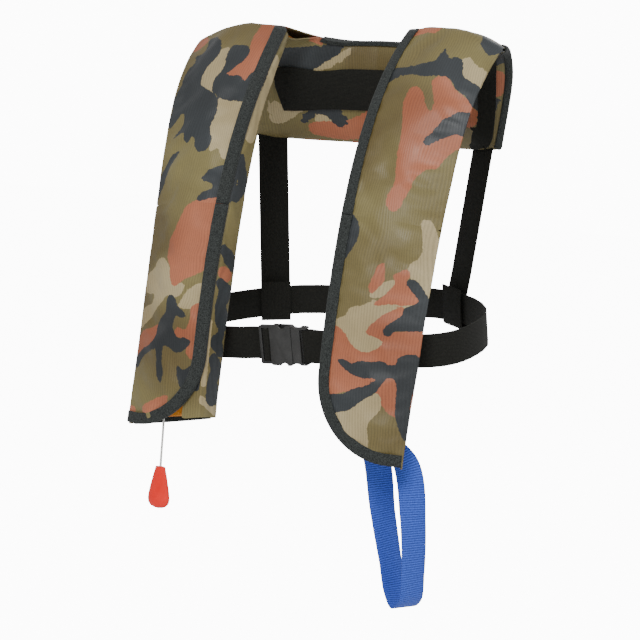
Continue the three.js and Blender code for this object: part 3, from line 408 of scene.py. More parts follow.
def inner_depth(s, share):
    """Depth of the collar's lining, which meets the cover at both edges."""
    share = min(max(share, 0), 1)
    closed = COVER * 1.5 + GAP
    neck = mix(closed, depth_at(s) - COVER, smooth(half_s(s), -0.35, 0))
    edge = mix(neck, closed, share)
    return edge + max(depth_at(s) - COVER - edge, 0) * math.sin(math.pi * share) ** 0.6


def span(low, high, count):
    return [low + (high - low) * i / count for i in range(count + 1)]


# ---- the print
# Each patch is a round outline through (across, down) places on one panel, in millimetres, or a run of
# (across, down, half width) places. Across is the distance from the inner edge; below zero it goes round
# the side wall to the back. Down is the drop from the shoulder. On the collar it is the distance either
# side of the back centre instead.
PRINT = {
    ("right", "dark"): [
        [
            (97, 9), (83, 13), (70, 28), (71, 44), (77, 54), (79, 72), (68, 79), (55, 86), (45, 94),
            (42, 104), (43, 120), (42, 131), (37, 141), (39, 153), (48, 156), (57, 151), (61, 140),
            (66, 136), (71, 142), (77, 142), (82, 130), (100, 136), (87, 120), (91, 106), (96, 106),
            (110, 120), (117, 113), (114, 100), (117, 84), (112, 67), (110, 47), (102, 40), (107, 31),
            (95, 29),
        ],
        [
            (54, 28), (34, 29), (30, 37), (34, 48), (40, 57), (47, 64), (37, 66), (30, 65), (22, 71),
            (17, 62), (12, 55), (12, 46), (4, 36), (-4, 50), (-4, 84), (9, 95), (23, 95), (37, 94),
            (48, 90), (56, 82), (59, 71), (54, 61), (52, 51), (56, 41),
        ],
        [
            (84, 152), (97, 156), (105, 169), (113, 182), (117, 200), (118, 218), (112, 210), (105, 195),
            (99, 181), (93, 165),
        ],
        [
            (-4, 164), (10, 170), (21, 173), (33, 180), (38, 188), (25, 192), (21, 198), (33, 204),
            (39, 211), (33, 213), (20, 209), (8, 207), (-6, 212),
        ],
        [
            (58, 328), (54, 323), (47, 327), (43, 334), (27, 345), (30, 348), (41, 347), (45, 357),
            (39, 368), (36, 372), (28, 371), (20, 374), (23, 382), (32, 388), (40, 388), (49, 383),
            (56, 384), (54, 401), (50, 418), (53, 426), (58, 420), (63, 403), (67, 388), (77, 391),
            (91, 398), (102, 414), (108, 404), (94, 390), (80, 384), (71, 374), (73, 361), (67, 351),
            (58, 343),
        ],
        [(34, 404), (26, 408), (8, 400), (6, 428), (22, 430), (30, 421)],
        [(-8, 160, 5), (-14, 176, 9), (-22, 190, 7), (-12, 202, 8)],
        [(-10, 266, 6), (-20, 274, 9), (-28, 284, 5)],
        [(-12, 304, 6), (-22, 314, 11), (-16, 330, 8), (-22, 344, 12), (-28, 352, 6)],
        [(-24, 362, 6), (-18, 372, 10), (-28, 384, 5)],
        [(-16, 392, 7), (-24, 404, 10), (-18, 418, 8), (-22, 434, 12)],
    ],
    ("right", "rust"): [
        [
            (26, -8), (32, 24), (29, 36), (32, 43), (35, 51), (40, 57), (47, 64), (44, 68), (37, 66),
            (30, 65), (22, 71), (18, 62), (13, 56), (15, 45), (12, 36), (6, 20), (0, -8),
        ],
        [(126, -4), (112, 2), (100, 10), (108, 20), (122, 18)],
        [
            (4, 204), (20, 208), (37, 213), (50, 220), (56, 232), (63, 250), (70, 264), (70, 277),
            (62, 288), (58, 303), (51, 312), (39, 305), (27, 298), (8, 286), (6, 240),
        ],
        [(73, 360), (83, 364), (102, 371), (108, 388), (106, 404), (94, 392), (80, 385), (71, 375)],
        [
            (4, 332), (21, 334), (20, 350), (25, 362), (37, 361), (39, 368), (29, 372), (21, 374),
            (22, 388), (4, 396),
        ],
        [(64, 450), (54, 444), (41, 441), (47, 452), (60, 460), (78, 464), (75, 456)],
        [(108, 461), (94, 463), (96, 472), (108, 474)],
        [(-14, 292, 7), (-20, 294, 7)],
    ],
    ("right", "tan"): [
        [
            (58, 31), (70, 32), (71, 44), (77, 54), (79, 72), (68, 80), (54, 87), (52, 80), (59, 73),
            (54, 60), (52, 50), (56, 40),
        ],
        [
            (46, 91), (41, 104), (43, 120), (41, 132), (36, 143), (34, 154), (25, 150), (18, 162), (4, 160),
            (-4, 120), (4, 94), (22, 95),
        ],
        [
            (82, 281), (70, 285), (61, 294), (56, 305), (49, 312), (37, 310), (42, 322), (52, 325),
            (60, 323), (68, 332), (78, 341), (92, 353), (108, 364), (112, 350), (100, 340), (85, 335),
            (84, 323), (104, 321), (110, 306), (97, 295),
        ],
        [(6, 308), (27, 314), (35, 324), (39, 335), (22, 336), (4, 338)],
        [(-8, 42, 9), (-12, 130, 8)],
        [(-3, 350, 3), (-5, 420, 3)],
        [(-2, 438, 3), (-30, 452, 4)],
    ],
    ("left", "dark"): [
        [
            (0, 58), (13, 49), (26, 47), (44, 44), (60, 39), (62, 28), (64, 22), (69, 28), (76, 31),
            (83, 27), (91, 31), (94, 40), (99, 46), (108, 48), (122, 52), (126, 66), (119, 73), (110, 66),
            (97, 61), (84, 52), (68, 54), (54, 57), (36, 56), (20, 61), (0, 76),
        ],
        [(90, -6), (118, -8), (120, 8), (112, 14), (102, 10), (94, 2)],
        [
            (124, 82), (110, 82), (102, 88), (92, 98), (84, 112), (77, 124), (80, 128), (88, 123),
            (98, 115), (108, 108), (124, 106),
        ],
        [(-4, 206), (10, 212), (19, 219), (24, 229), (23, 241), (18, 254), (10, 266), (-4, 270)],
        [
            (88, 274), (98, 276), (105, 285), (113, 296), (114, 325), (101, 329), (89, 331), (80, 333),
            (74, 339), (68, 337), (71, 328), (79, 321), (85, 315), (87, 307), (96, 301), (101, 297),
            (95, 289), (86, 280),
        ],
        [
            (94, 357), (101, 355), (110, 358), (112, 375), (108, 390), (106, 405), (107, 427), (110, 452),
            (104, 450), (97, 438), (92, 425), (90, 407), (88, 387), (82, 383), (78, 385), (72, 395),
            (66, 404), (57, 410), (50, 416), (42, 424), (33, 427), (22, 430), (12, 425), (4, 420),
            (12, 412), (31, 408), (43, 401), (56, 396), (64, 391), (68, 386), (55, 388), (45, 387),
            (36, 384), (27, 379), (21, 372), (27, 371), (38, 374), (47, 370), (58, 370), (69, 367),
            (79, 370), (86, 368), (88, 361),
        ],
    ],
    ("left", "rust"): [
        [(4, -8), (38, -4), (40, 4), (24, 4), (8, 10)],
        [
            (48, 71), (56, 71), (64, 79), (69, 88), (77, 93), (79, 83), (74, 72), (69, 60), (77, 53),
            (85, 54), (93, 61), (105, 66), (122, 74), (124, 82), (124, 112), (112, 124), (102, 137),
            (97, 148), (85, 153), (76, 164), (72, 178), (68, 189), (65, 200), (59, 205), (52, 200),
            (50, 192), (55, 178), (54, 159), (52, 144), (52, 126), (49, 108), (45, 96), (44, 82),
        ],
        [(58, 262), (52, 267), (50, 277), (46, 288), (49, 295), (55, 289), (61, 280), (60, 271)],
        [
            (84, 265), (88, 271), (84, 277), (88, 282), (95, 289), (102, 297), (87, 302), (70, 304),
            (55, 307), (64, 297), (71, 287), (75, 279), (71, 275), (77, 269),
        ],
        [
            (6, 336), (22, 341), (33, 353), (48, 361), (58, 359), (71, 347), (60, 341), (50, 339),
            (56, 328), (75, 311), (86, 306), (84, 316), (70, 332), (80, 334), (100, 329), (114, 324),
            (116, 400), (106, 424), (92, 425), (85, 422), (77, 415), (74, 404), (60, 399), (40, 403),
            (24, 408), (4, 416), (4, 370),
        ],
    ],
    ("left", "tan"): [
        [(88, 28), (95, 24), (104, 31), (116, 32), (124, 38), (122, 52), (107, 48), (99, 45), (94, 38)],
        [
            (92, 210), (100, 208), (107, 218), (112, 228), (118, 240), (117, 262), (116, 280), (111, 293),
            (104, 284), (98, 277), (90, 273), (86, 266), (87, 259), (95, 251), (98, 243), (97, 232),
            (95, 221),
        ],
        [(64, 282), (74, 279), (70, 288), (60, 297), (49, 299), (54, 289)],
        [
            (96, 296), (83, 300), (74, 303), (62, 305), (53, 305), (42, 311), (28, 316), (25, 323),
            (12, 331), (4, 337), (21, 339), (24, 344), (32, 352), (37, 358), (49, 361), (58, 359),
            (65, 352), (72, 346), (60, 341), (50, 339), (54, 329), (64, 320), (75, 309), (92, 302),
        ],
        [(4, 344), (18, 350), (16, 358), (4, 362)],
        [
            (74, 402), (74, 411), (73, 420), (68, 427), (63, 437), (63, 447), (65, 466), (52, 466),
            (42, 456), (31, 446), (23, 432), (34, 427), (44, 423), (54, 412), (66, 405),
        ],
    ],
    ("collar", "dark"): [
        [(45, -190, 24), (20, -150, 20), (8, -110, 8)],
        [(112, -88, 8), (94, -78, 9), (90, -56, 10), (104, -40, 8)],
        [(120, 6, 9), (108, 14, 8)],
        [(60, 214, 12), (90, 214, 13), (112, 224, 12)],
        [(78, 170, 4), (100, 163, 7), (122, 166, 6)],
    ],
    ("collar", "rust"): [
        [(122, -66, 9), (116, -34, 12), (104, -12, 13), (92, -4, 10)],
        [(96, 190, 7), (112, 182, 10), (104, 176, 8)],
        [(96, 148, 7), (116, 146, 10)],
    ],
    ("collar", "tan"): [
        [(40, -146, 8), (26, -112, 9), (12, -76, 5)],
        [(112, -132, 20), (100, -118, 14)],
        [(104, -62, 10), (116, -58, 8)],
    ],
}
# Where no patch is drawn, an ink shows wherever a cloud, (shift, level), is above its level.
PRINT_CLOUDS = {"dark": (3.1, 0.17), "rust": (11.7, 0.2), "tan": (23.9, 0.18)}
BLEED = {"dark": 0.3, "rust": 0.9, "tan": 1.4}  # millimetres by which an ink runs under the next
COLLAR_RUN = 260  # millimetres of collar for one unit of s
BACK_STARTS = 40  # millimetres round from the inner edge to the lobe's back

SPOTS = [(s, a) for s in span(-3, 1, 200) for a in span(0, width(s), 16)]
SPOT_PLACES = [skin(s, a, 0) for s, a in SPOTS]
spot_tree = kdtree.KDTree(len(SPOTS))
for number, place in enumerate(SPOT_PLACES):
    spot_tree.insert(place, number)
spot_tree.balance()


def unrolled(point):
    """(panel, across, down) of a point given in millimetres."""
    number = spot_tree.find(point)[1]
    s, a = SPOTS[number]
    _, across, out, along, _ = section(s)
    offset = point - SPOT_PLACES[number]
    a += offset @ across
    depth = -(offset @ out)
    m = half_s(s)
    if m < 0 and depth > 6:
        return "collar", a, (s + 1) * COLLAR_RUN
    if depth > 3 and a < 4:
        a = -depth
    elif depth > 6:
        a = -BACK_STARTS - a
    side, way = ("left", 1) if s > -1 else ("right", -1)
    return side, a, drop_at(m) + offset @ along * way if m >= 0 else m * COLLAR_RUN


def patch_distance(flat, patch):
    """How far each place lies outside a patch; negative inside."""
    outline = len(patch[0]) == 2
    line = [np.array(p, float) for p in patch]
    if outline:
        around = [line[i % len(line)] for i in range(-1, len(line) + 2)]
        share = len(line) + 2.0
        line = [catmull(around, (1 + i / 4) / share) for i in range(4 * len(line) + 1)]
    nearest_edge = np.full(len(flat), 1e3)
    inside = np.zeros(len(flat), bool)
    for a, b in zip(line, line[1:]):
        run = b[:2] - a[:2]
        along = np.clip((flat - a[:2]) @ run / (run @ run), 0, 1)
        gap = np.linalg.norm(flat - a[:2] - along[:, None] * run, axis=1)
        nearest_edge = np.minimum(nearest_edge, gap if outline else gap - (a[2] + (b[2] - a[2]) * along))
        if outline and a[1] != b[1]:
            crossing = (flat[:, 1] < a[1]) != (flat[:, 1] < b[1])
            inside ^= crossing & (flat[:, 0] < a[0] + (flat[:, 1] - a[1]) / run[1] * run[0])
    return np.where(inside, -nearest_edge, nearest_edge)


def print_on(piece):
    """Writes the print's outlines on a mesh as signed distances in millimetres."""
    points = np.array([v.co for v in piece.data.vertices]) / MM
    found = [unrolled(p) for p in points]
    flat = np.array([f[1:] for f in found])
    panel = np.array([f[0] for f in found])
    front = (flat[:, 0] > 4 - BACK_STARTS) & (flat[:, 1] > -16)
    drawn = front | (panel == "collar")
    for ink, (shift, level) in PRINT_CLOUDS.items():
        cloud = np.array([noise.noise(Vector(p) * 0.021 + Vector((shift, 0, 0))) for p in points])
        away = np.where(drawn, 30.0, (level - cloud) * 60)
        for name in set(panel):
            here = panel == name
            for patch in PRINT[name, ink]:
                away[here] = np.minimum(away[here], patch_distance(flat[here], patch) - BLEED[ink])
        layer = piece.data.attributes.new(ink, "FLOAT", "POINT")
        layer.data.foreach_set("value", away.astype(np.float32))


# ---- making pieces
def finish_modifiers(piece):
    """Applies what was set on the piece, which stays the one selected."""
    bpy.ops.object.select_all(action="DESELECT")
    piece.select_set(True)
    bpy.context.view_layer.objects.active = piece
    for modifier in list(piece.modifiers):
        bpy.ops.object.modifier_apply(modifier=modifier.name)


def new_piece(name, mesh, material):
    piece = bpy.data.objects.new(name, mesh)
    bpy.context.scene.collection.objects.link(piece)
    mesh.materials.clear()
    mesh.materials.append(material)
    mesh.shade_smooth()
    return piece


def grid_mesh(name, rows, closed=False):
    """A mesh through rows of points in millimetres; closed rows are rings of a body with two ends."""
    wide = len(rows[0])
    faces = [
        (r * wide + c, r * wide + (c + 1) % wide, (r + 1) * wide + (c + 1) % wide, (r + 1) * wide + c)
        for r in range(len(rows) - 1)
        for c in range(wide if closed else wide - 1)
    ]
    if closed:
        last = (len(rows) - 1) * wide
        faces += [tuple(range(wide))[::-1], tuple(range(last, last + wide))]
    mesh = bpy.data.meshes.new(name)
    mesh.from_pydata([tuple(np.array(p) * MM) for row in rows for p in row], [], faces)
    return mesh


def settle(piece, body, slot, *nodes):
    """Says what a finished piece moves with and stands for; the slot argument is not used."""
    if body:
        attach(piece, body)
    if nodes:
        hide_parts(*nodes)
    return piece


def rounded(piece, levels):
    modifier = piece.modifiers.new("round", "SUBSURF")
    modifier.levels = modifier.render_levels = levels


def bevelled(piece, millimetres, sharpest_left):
    """Rounds every edge whose faces turn by more than the angle, in degrees."""
    edge = piece.modifiers.new("edge", "BEVEL")
    edge.width = millimetres * MM
    edge.segments = 2
    edge.limit_method = "ANGLE"
    edge.angle_limit = math.radians(sharpest_left)


def thicken(piece, millimetres, offset=-1):
    """Gives a sheet its wall, below its face or, with offset 0, half on each side."""
    rounded(piece, 1)
    wall = piece.modifiers.new("wall", "SOLIDIFY")
    wall.thickness = millimetres * MM
    wall.offset = offset
    wall.use_even_offset = True
    finish_modifiers(piece)
    bpy.ops.object.shade_smooth_by_angle(angle=math.radians(50))


def ruffle(piece, amount, size, seed):
    """Moves points along their normals by smooth noise, amount and size in millimetres."""
    moves = []
    for v in piece.data.vertices:
        p = v.co / MM
        n = noise.noise(Vector((p.x, p.y, p.z * 0.6)) / size + Vector((seed, seed, 0)))
        n += 0.5 * noise.noise(p / size * 2.3 + Vector((0, seed, seed)))
        moves.append(v.co + v.normal * (n * amount * MM))
    for v, place in zip(piece.data.vertices, moves):
        v.co = place
    piece.data.update()


def tighten(piece, pinned, growth, cap, seed, frames=20):
    """Lets a held sheet grow a little as cloth, so it puckers, then keeps that shape. No point moves
    further than the cap, in millimetres."""
    rest = np.array([v.co for v in piece.data.vertices])
    for v in piece.data.vertices:
        v.co += v.normal * (0.5 * MM * noise.noise(v.co * 40 + Vector((seed, 0, 0))))
    group = piece.vertex_groups.new(name="held")
    for number, weight in pinned.items():
        group.add([number], weight, "REPLACE")
    cloth = piece.modifiers.new("cloth", "CLOTH")
    cloth.settings.quality = 6
    cloth.settings.mass = 0.15
    cloth.settings.tension_stiffness = 25
    cloth.settings.compression_stiffness = 25
    cloth.settings.shear_stiffness = 8
    cloth.settings.bending_stiffness = 0.35
    cloth.settings.shrink_min = -growth
    cloth.settings.vertex_group_mass = "held"
    cloth.settings.effector_weights.gravity = 0
    cloth.point_cache.frame_end = frames
    for now in range(1, frames + 1):
        bpy.context.scene.frame_set(now)
    shaped = piece.evaluated_get(bpy.context.evaluated_depsgraph_get()).to_mesh()
    moved = np.array([v.co for v in shaped.vertices])
    piece.evaluated_get(bpy.context.evaluated_depsgraph_get()).to_mesh_clear()
    piece.modifiers.remove(cloth)
    piece.vertex_groups.clear()
    bpy.context.scene.frame_set(1)
    away = moved - rest
    length = np.maximum(np.linalg.norm(away, axis=1), 1e-9)
    away *= (np.minimum(length, cap * MM) / length)[:, None]
    for v, place in zip(piece.data.vertices, rest + away):
        v.co = place
    piece.data.update()


# ---- the yoke's cover
HINGE_DROP = 215  # drop at which the shoulder cover ends and the flap starts
CORNER_START = 388  # drop at which the flap's rim starts to turn
CORNER_HEIGHT = 92
RIM = 0.9  # thickness of the binding tape, and how far the cover's rim lies inside the fold
TAPE_LEG = 13


def rim_at(turn):
    """(distance from the inner edge, drop) of the flap's round corner at a turn from 0 to 1."""
    angle = turn * 12 / 12.6 * math.pi / 2
    drop = CORNER_START + (CORNER_HEIGHT - RIM) * math.sin(angle)
    return RIM + (width(s_at(drop)) - 12 - RIM) * (1 - math.cos(angle)), drop


def cover_rows():
    """(s, start) of every row of the cover, from the right lobe's hem over the neck to the left's."""
    lobe = [(s_at(drop), RIM) for drop in span(4, HINGE_DROP, 34)]
    lobe += [(s_at(drop), RIM) for drop in span(HINGE_DROP + 6, CORNER_START, 28)]
    lobe += [(s_at(drop), start) for start, drop in map(rim_at, span(1 / 18, 1, 17))]
    collar = [(s, RIM) for s in span(-2, 0, 62)]
    return [(-2 - s, start) for s, start in reversed(lobe)] + collar + lobe


def make_cover():
    """One sheet for the whole yoke, puckered as cloth, then parted into the yoke's cover and two flaps."""
    rows = cover_rows()
    cells = 20
    points = [[skin(s, a, 0) for a in span(start, width(s), cells)] for s, start in rows]
    sheet = new_piece("cover_sheet", grid_mesh("cover_sheet", points), CAMO)
    wide = cells + 1
    held = {}
    for r in range(len(rows)):
        for c in range(wide):
            border = min(c, cells - c, r, len(rows) - 1 - r)
            if border < 3:
                held[r * wide + c] = (1.0, 0.9, 0.6)[border]
    tighten(sheet, held, 0.03, 4.5, 5)
    shaped = [tuple(v.co / MM) for v in sheet.data.vertices]
    bpy.data.objects.remove(sheet)
    shaped = [shaped[r * wide : (r + 1) * wide] for r in range(len(rows))]
    seam = s_at(HINGE_DROP + 0.1)
    low = next(i for i, (s, _) in enumerate(rows) if s > -2 - seam)
    high = next(i for i, (s, _) in enumerate(rows) if s > seam)
    return shaped[: low + 1], shaped[low:high], shaped[high - 1 :]


def cover_piece(name, rows):
    piece = new_piece(name, grid_mesh(name, rows), CAMO)
    piece.data.flip_normals()
    thicken(piece, 1.5)
    print_on(piece)
    return piece


right_flap_rows, yoke_rows, left_flap_rows = make_cover()
yoke_cover = cover_piece("yoke_cover", yoke_rows)
settle(yoke_cover, "yoke", "cover_fabric", "collar_outer", "front_upper_right", "front_upper_left")

SIDES = (("right", -1), ("left", 1))


def lobe_place(sign, drop, a, d, on_skin=True):
    s = s_at(drop)
    return (skin if on_skin else plain)(s, a, d) * (sign, 1, 1)


def hinge(piece, sign):
    """Bakes the piece's place into its mesh; a point near the outer edge and one further in, halfway down
    the flap, are worked out but not used.
    """
    middle = 350  # drop halfway down the flap
    wide = width(s_at(middle))
    start, end = (Vector(lobe_place(sign, middle, wide - inset, 0)) * MM for inset in (1, 17))
    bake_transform(piece)


for side, sign in SIDES:
    flap = cover_piece(f"flap_cover_{side}", left_flap_rows if sign > 0 else right_flap_rows)
    hinge(flap, sign)
    settle(flap, None, "cover_fabric", f"flap_{side}")


def sweep(name, rings, material):
    """Closed body through rings of points in millimetres."""
    mesh = grid_mesh(name, rings, closed=True)
    shell = bmesh.new()
    shell.from_mesh(mesh)
    bmesh.ops.recalc_face_normals(shell, faces=shell.faces)
    shell.to_mesh(mesh)
    shell.free()
    return new_piece(name, mesh, material)


def tape_piece(name, path, sign, clear):
    """Folded tape over the cover's edge, a little wavy, with rounded folds and proud selvedges."""
    b, leg = RIM, TAPE_LEG
    out, back = -clear - b, COVER + clear + b
    turns = [
        (leg, out + 0.1), (leg - 1, out - 0.35), (leg * 0.55, out), (2, out - 0.1), (0, out + 0.2),
        (-b * 0.7, out + 1.2), (-b * 0.7, back - 1.2), (0, back - 0.2), (2, back), (leg * 0.55, back),
        (leg, back), (leg, back - b), (leg * 0.5, back - b), (1.2, back - b), (b * 0.5, 1),
        (1.2, out + b), (leg * 0.5, out + b), (leg, out + b),
    ]

    def ring(a, drop, ta, td):
        wave = 0.5 * noise.noise(Vector((drop * 0.06, a * 0.06, sign * 3.0)))
        reach = 1 + 0.05 * noise.noise(Vector((drop * 0.03, 7, sign * 5.0)))
        return [
            lobe_place(sign, max(drop - g * reach * ta, 0.1), a + g * reach * td, depth - wave * (depth < 1))
            for g, depth in turns
        ]

    rings = []
    for i, (a, drop) in enumerate(path):
        (a0, d0), (a1, d1) = path[max(i - 1, 0)], path[min(i + 1, len(path) - 1)]
        length = math.hypot(a1 - a0, d1 - d0)
        rings.append(ring(a, drop, (a1 - a0) / length, (d1 - d0) / length))
    return sweep(name, rings, TAPE)


for side, sign in SIDES:
    upper = tape_piece(f"upper_tape_{side}", [(0, d) for d in span(2, HINGE_DROP, 52)], sign, 1.0)
    settle(upper, "yoke", "binding_tape", f"upper_binding_{side}")
    straight = [(0, d) for d in span(HINGE_DROP + 0.6, CORNER_START - 4, 34)]
    corner = [(a - RIM, d + RIM * 0.6) for a, d in map(rim_at, span(0, 1, 30))]
    (a_end, d_end), wide = corner[-1], width(s_at(CORNER_START + CORNER_HEIGHT))
    corner += [(a, d_end) for a in span(a_end, wide - 0.8, 6)[1:]]
    lower = tape_piece(f"flap_tape_{side}", straight + corner, sign, 1.1)
    hinge(lower, sign)
    settle(lower, None, "binding_tape", f"flap_binding_{side}")


# ---- lobes' backs and the collar's lining
CLOTH = 1.2


def hem_at(side, share):
    """How far a lobe's hem lies above its lowest corner at a share of its width."""
    share = min(max(share, 0), 1)
    return 91 * (1 - share**0.6) if side == "left" else 24 * (1 - share)


def lobe_back(side, sign):
    """Turned lip, side wall and back panel of a lobe, in one length of cloth."""
    lip_at = COVER + 2 * RIM + CLOTH + GAP

    def row(drop):
        s = s_at(drop)
        wide, deep = width(s), depth_at(s)

        def at(a, d, on_skin=False):
            rise = (drop / LOBE_DROP) ** 3 * hem_at(side, a / wide)
            return lobe_place(sign, max(drop - rise, 0.2), a, d, on_skin)

        lip = [at(a, lip_at, True) for a in (24, 16, 8, 3)]
        wall = [at(0.7, mix(lip_at + 1.5, deep - 3, f)) for f in (0, 0.25, 0.5, 0.75, 1)]
        wall += [at(3, deep - 0.8)]
        back = [at(f * wide, back_depth(s, f) + 0.6) for f in span(0.1, 0.94, 12)]
        return lip + wall + back + [at(0.985 * wide, 3.4), at(0.998 * wide, 2.0)]

    name = f"lobe_back_{side}"
    piece = new_piece(name, grid_mesh(name, [row(d) for d in span(0.5, LOBE_DROP, 72)]), CAMO)
    if sign > 0:
        piece.data.flip_normals()
    ruffle(piece, 1.0, 34, 11 + sign)
    thicken(piece, CLOTH, offset=0)
    print_on(piece)
    settle(piece, "yoke", "cover_fabric", f"back_panel_{side}")


for side, sign in SIDES:
    lobe_back(side, sign)


def collar_lining():
    """The face of the collar that lies on the neck."""
    rows = [
        [plain(s, a, inner_depth(s, a / width(s)) + 0.3) for a in span(1, width(s), 22)]
        for s in span(-1.998, -0.002, 90)
    ]
    piece = new_piece("collar_lining", grid_mesh("collar_lining", rows), CAMO)
    piece.data.flip_normals()
    ruffle(piece, 0.5, 40, 2)
    thicken(piece, CLOTH)
    print_on(piece)
    settle(piece, "yoke", "cover_fabric", "collar_inner")


collar_lining()


def side_piping(side, sign):
    """Tape folded over the collar's outer side edge."""

    def ring(s):
        w = width(s)

        def lining(inset, lift):
            return plain(s, w - inset, inner_depth(s, (w - inset) / w) + lift)

        places = (
            skin(s, w - 5, -1.5), skin(s, w - 3, -1.8), skin(s, w - 0.5, -1.9), plain(s, w + 1.7, 0),
            plain(s, w + 2, 2.4), plain(s, w + 1.4, 4.8), lining(2.5, 2.2), lining(5, 2.2),
            lining(5, 1.1), lining(2.5, 1.1), plain(s, w - 0.3, 2.2), skin(s, w - 3, -0.2),
            skin(s, w - 5, -0.2),
        )
        return [place * (sign, 1, 1) for place in places]

    piece = sweep(f"side_piping_{side}", [ring(s) for s in span(-0.425, -0.035, 44)], TAPE)
    settle(piece, "yoke", "binding_tape")


for side, sign in SIDES:
    side_piping(side, sign)


# ---- pieces finished from their CAD shapes
def body_of(node):
    return next(b for b, members in frame["record"]["behaviour"]["bodies"].items() if node in members)


SLOTS = {s["node"]: s["material_slot"] for s in frame["record"]["subparts"]}


def finished(node, material, bevel=0.4, levels=0, ruffled=0.0):
    """A copy of a CAD node, merged, with rounded edges and its finish."""
    mesh = frame["nodes"][node].data.copy()
    piece = new_piece(f"{node}_finished", mesh, material)
    shell = bmesh.new()
    shell.from_mesh(mesh)
    bmesh.ops.remove_doubles(shell, verts=shell.verts, dist=2e-6)
    bmesh.ops.join_triangles(shell, faces=shell.faces, angle_face_threshold=0.12, angle_shape_threshold=1.2)
    shell.to_mesh(mesh)
    shell.free()
    if bevel:
        bevelled(piece, bevel, 38)
    if levels:
        rounded(piece, levels)
    finish_modifiers(piece)
    bpy.ops.object.shade_smooth_by_angle(angle=math.radians(32))
    if ruffled:
        ruffle(piece, ruffled, 30, 4)
    return settle(piece, body_of(node), SLOTS[node], node)


def let_down(piece, drop, forward):
    """Lets the lowest part of a bladder hang a little lower and further forward."""
    for v in piece.data.vertices:
        p = np.array(v.co) / MM
        down = unrolled(p)[2]
        share = smooth(down, 415, 445)
        _, _, out, along, _ = section(-2 - s_at(max(down, 1)))
        v.co = (p + (out * forward - along * drop) * share) * MM
    piece.data.update()


def raise_top(strap, rise):
    """Takes a strap's sewn end further up into the collar."""
    top = max(v.co.z for v in strap.data.vertices)
    for v in strap.data.vertices:
        if v.co.z > top - 8 * MM:
            v.co.z += rise * MM


WEB_EDGE = 0.35  # how much the edges of webbing are rounded
for node in ("belt_main", "belt_plug_webbing", "yoke_webbing"):
    finished(node, WEB_LEVEL, WEB_EDGE)
for side, _ in SIDES:
    raise_top(finished(f"back_strap_{side}", WEB_UPRIGHT, WEB_EDGE), 6)
    finished(f"belt_loop_{side}", WEB_UPRIGHT, WEB_EDGE)


def strap_over_collar():
    """The left back strap's sewn end, which runs up the collar's inner face beside its outer edge."""
    path = [
        (-0.515, 3), (-0.5, 12), (-0.45, 22), (-0.38, 28), (-0.3, 30), (-0.2, 29), (-0.1, 28),
        (-0.03, 27),
    ]
    corners = ((-1, 0.7), (1, 0.7), (1, -0.8), (-1, -0.8))

    def lie(s, inset, lift=0.0):
        a = width(s) - inset
        return plain(s, a, inner_depth(s, a / width(s)) + 2 * CLOTH + lift)

    rings = []
    for t in span(0, 1, 60):
        s, inset = catmull(path, t)
        before, after = catmull(path, max(t - 0.02, 0)), catmull(path, min(t + 0.02, 1))
        tangent = unit(lie(*after) - lie(*before))
        out = unit(lie(s, inset, 0) - lie(s, inset, 1))
        wide = unit(np.cross(tangent, out))
        rings.append([lie(s, inset) + wide * u * 16 + out * v for u, v in corners])
    piece = sweep("strap_over_collar", rings, WEB_UPRIGHT)
    bevelled(piece, WEB_EDGE, 30)
    finish_modifiers(piece)
    bpy.ops.object.shade_smooth_by_angle(angle=math.radians(32))
    settle(piece, "yoke", "black_webbing", "strap_extension")


strap_over_collar()
for node in ("tail_keeper", "whistle_band"):
    finished(node, ELASTIC, 0.3)
for side, _ in SIDES:
    for kind in ("hook_tape", "loop_tape"):
        finished(f"{kind}_{side}", HOOK, 0.2)
    finished(f"hem_binding_{side}", TAPE, 0.2, 1)
    bladder = finished(f"bladder_{side}", ORANGE, 0, 2, 0.5)
    if side == "right":
        let_down(bladder, 9, 1.4)
finished("neck_binding", TAPE, 0.2, 1)
finished("bladder_collar", ORANGE, 0, 1)

for node in ("buckle_socket", "buckle_plug", "prong_upper", "prong_lower"):
    finished(node, BLACK_PLASTIC, 0.5)
for node in ("inflator_body", "oral_tube", "oral_valve"):
    finished(node, BLACK_PLASTIC, 0.4)
for node in ("lever_pin", "pierce_pin", "gas_cylinder", "manifold_stem", "manifold_nut"):
    finished(node, STEEL, 0.2)
for node in ("valve_plunger", "dust_cap", "whistle"):
    finished(node, RED_PLASTIC, 0.3)
finished("cylinder_washer", RUBBER, 0.2)
finished("inflator_lever", GREY_PLASTIC, 0.4)
finished("status_clip", GREEN_PLASTIC, 0.3)
finished("oral_flange", FLANGE, 0.3)


# ---- lifting loop
LOOP_HALF_WIDTH = 15
LOOP_THICKNESS = 1.6


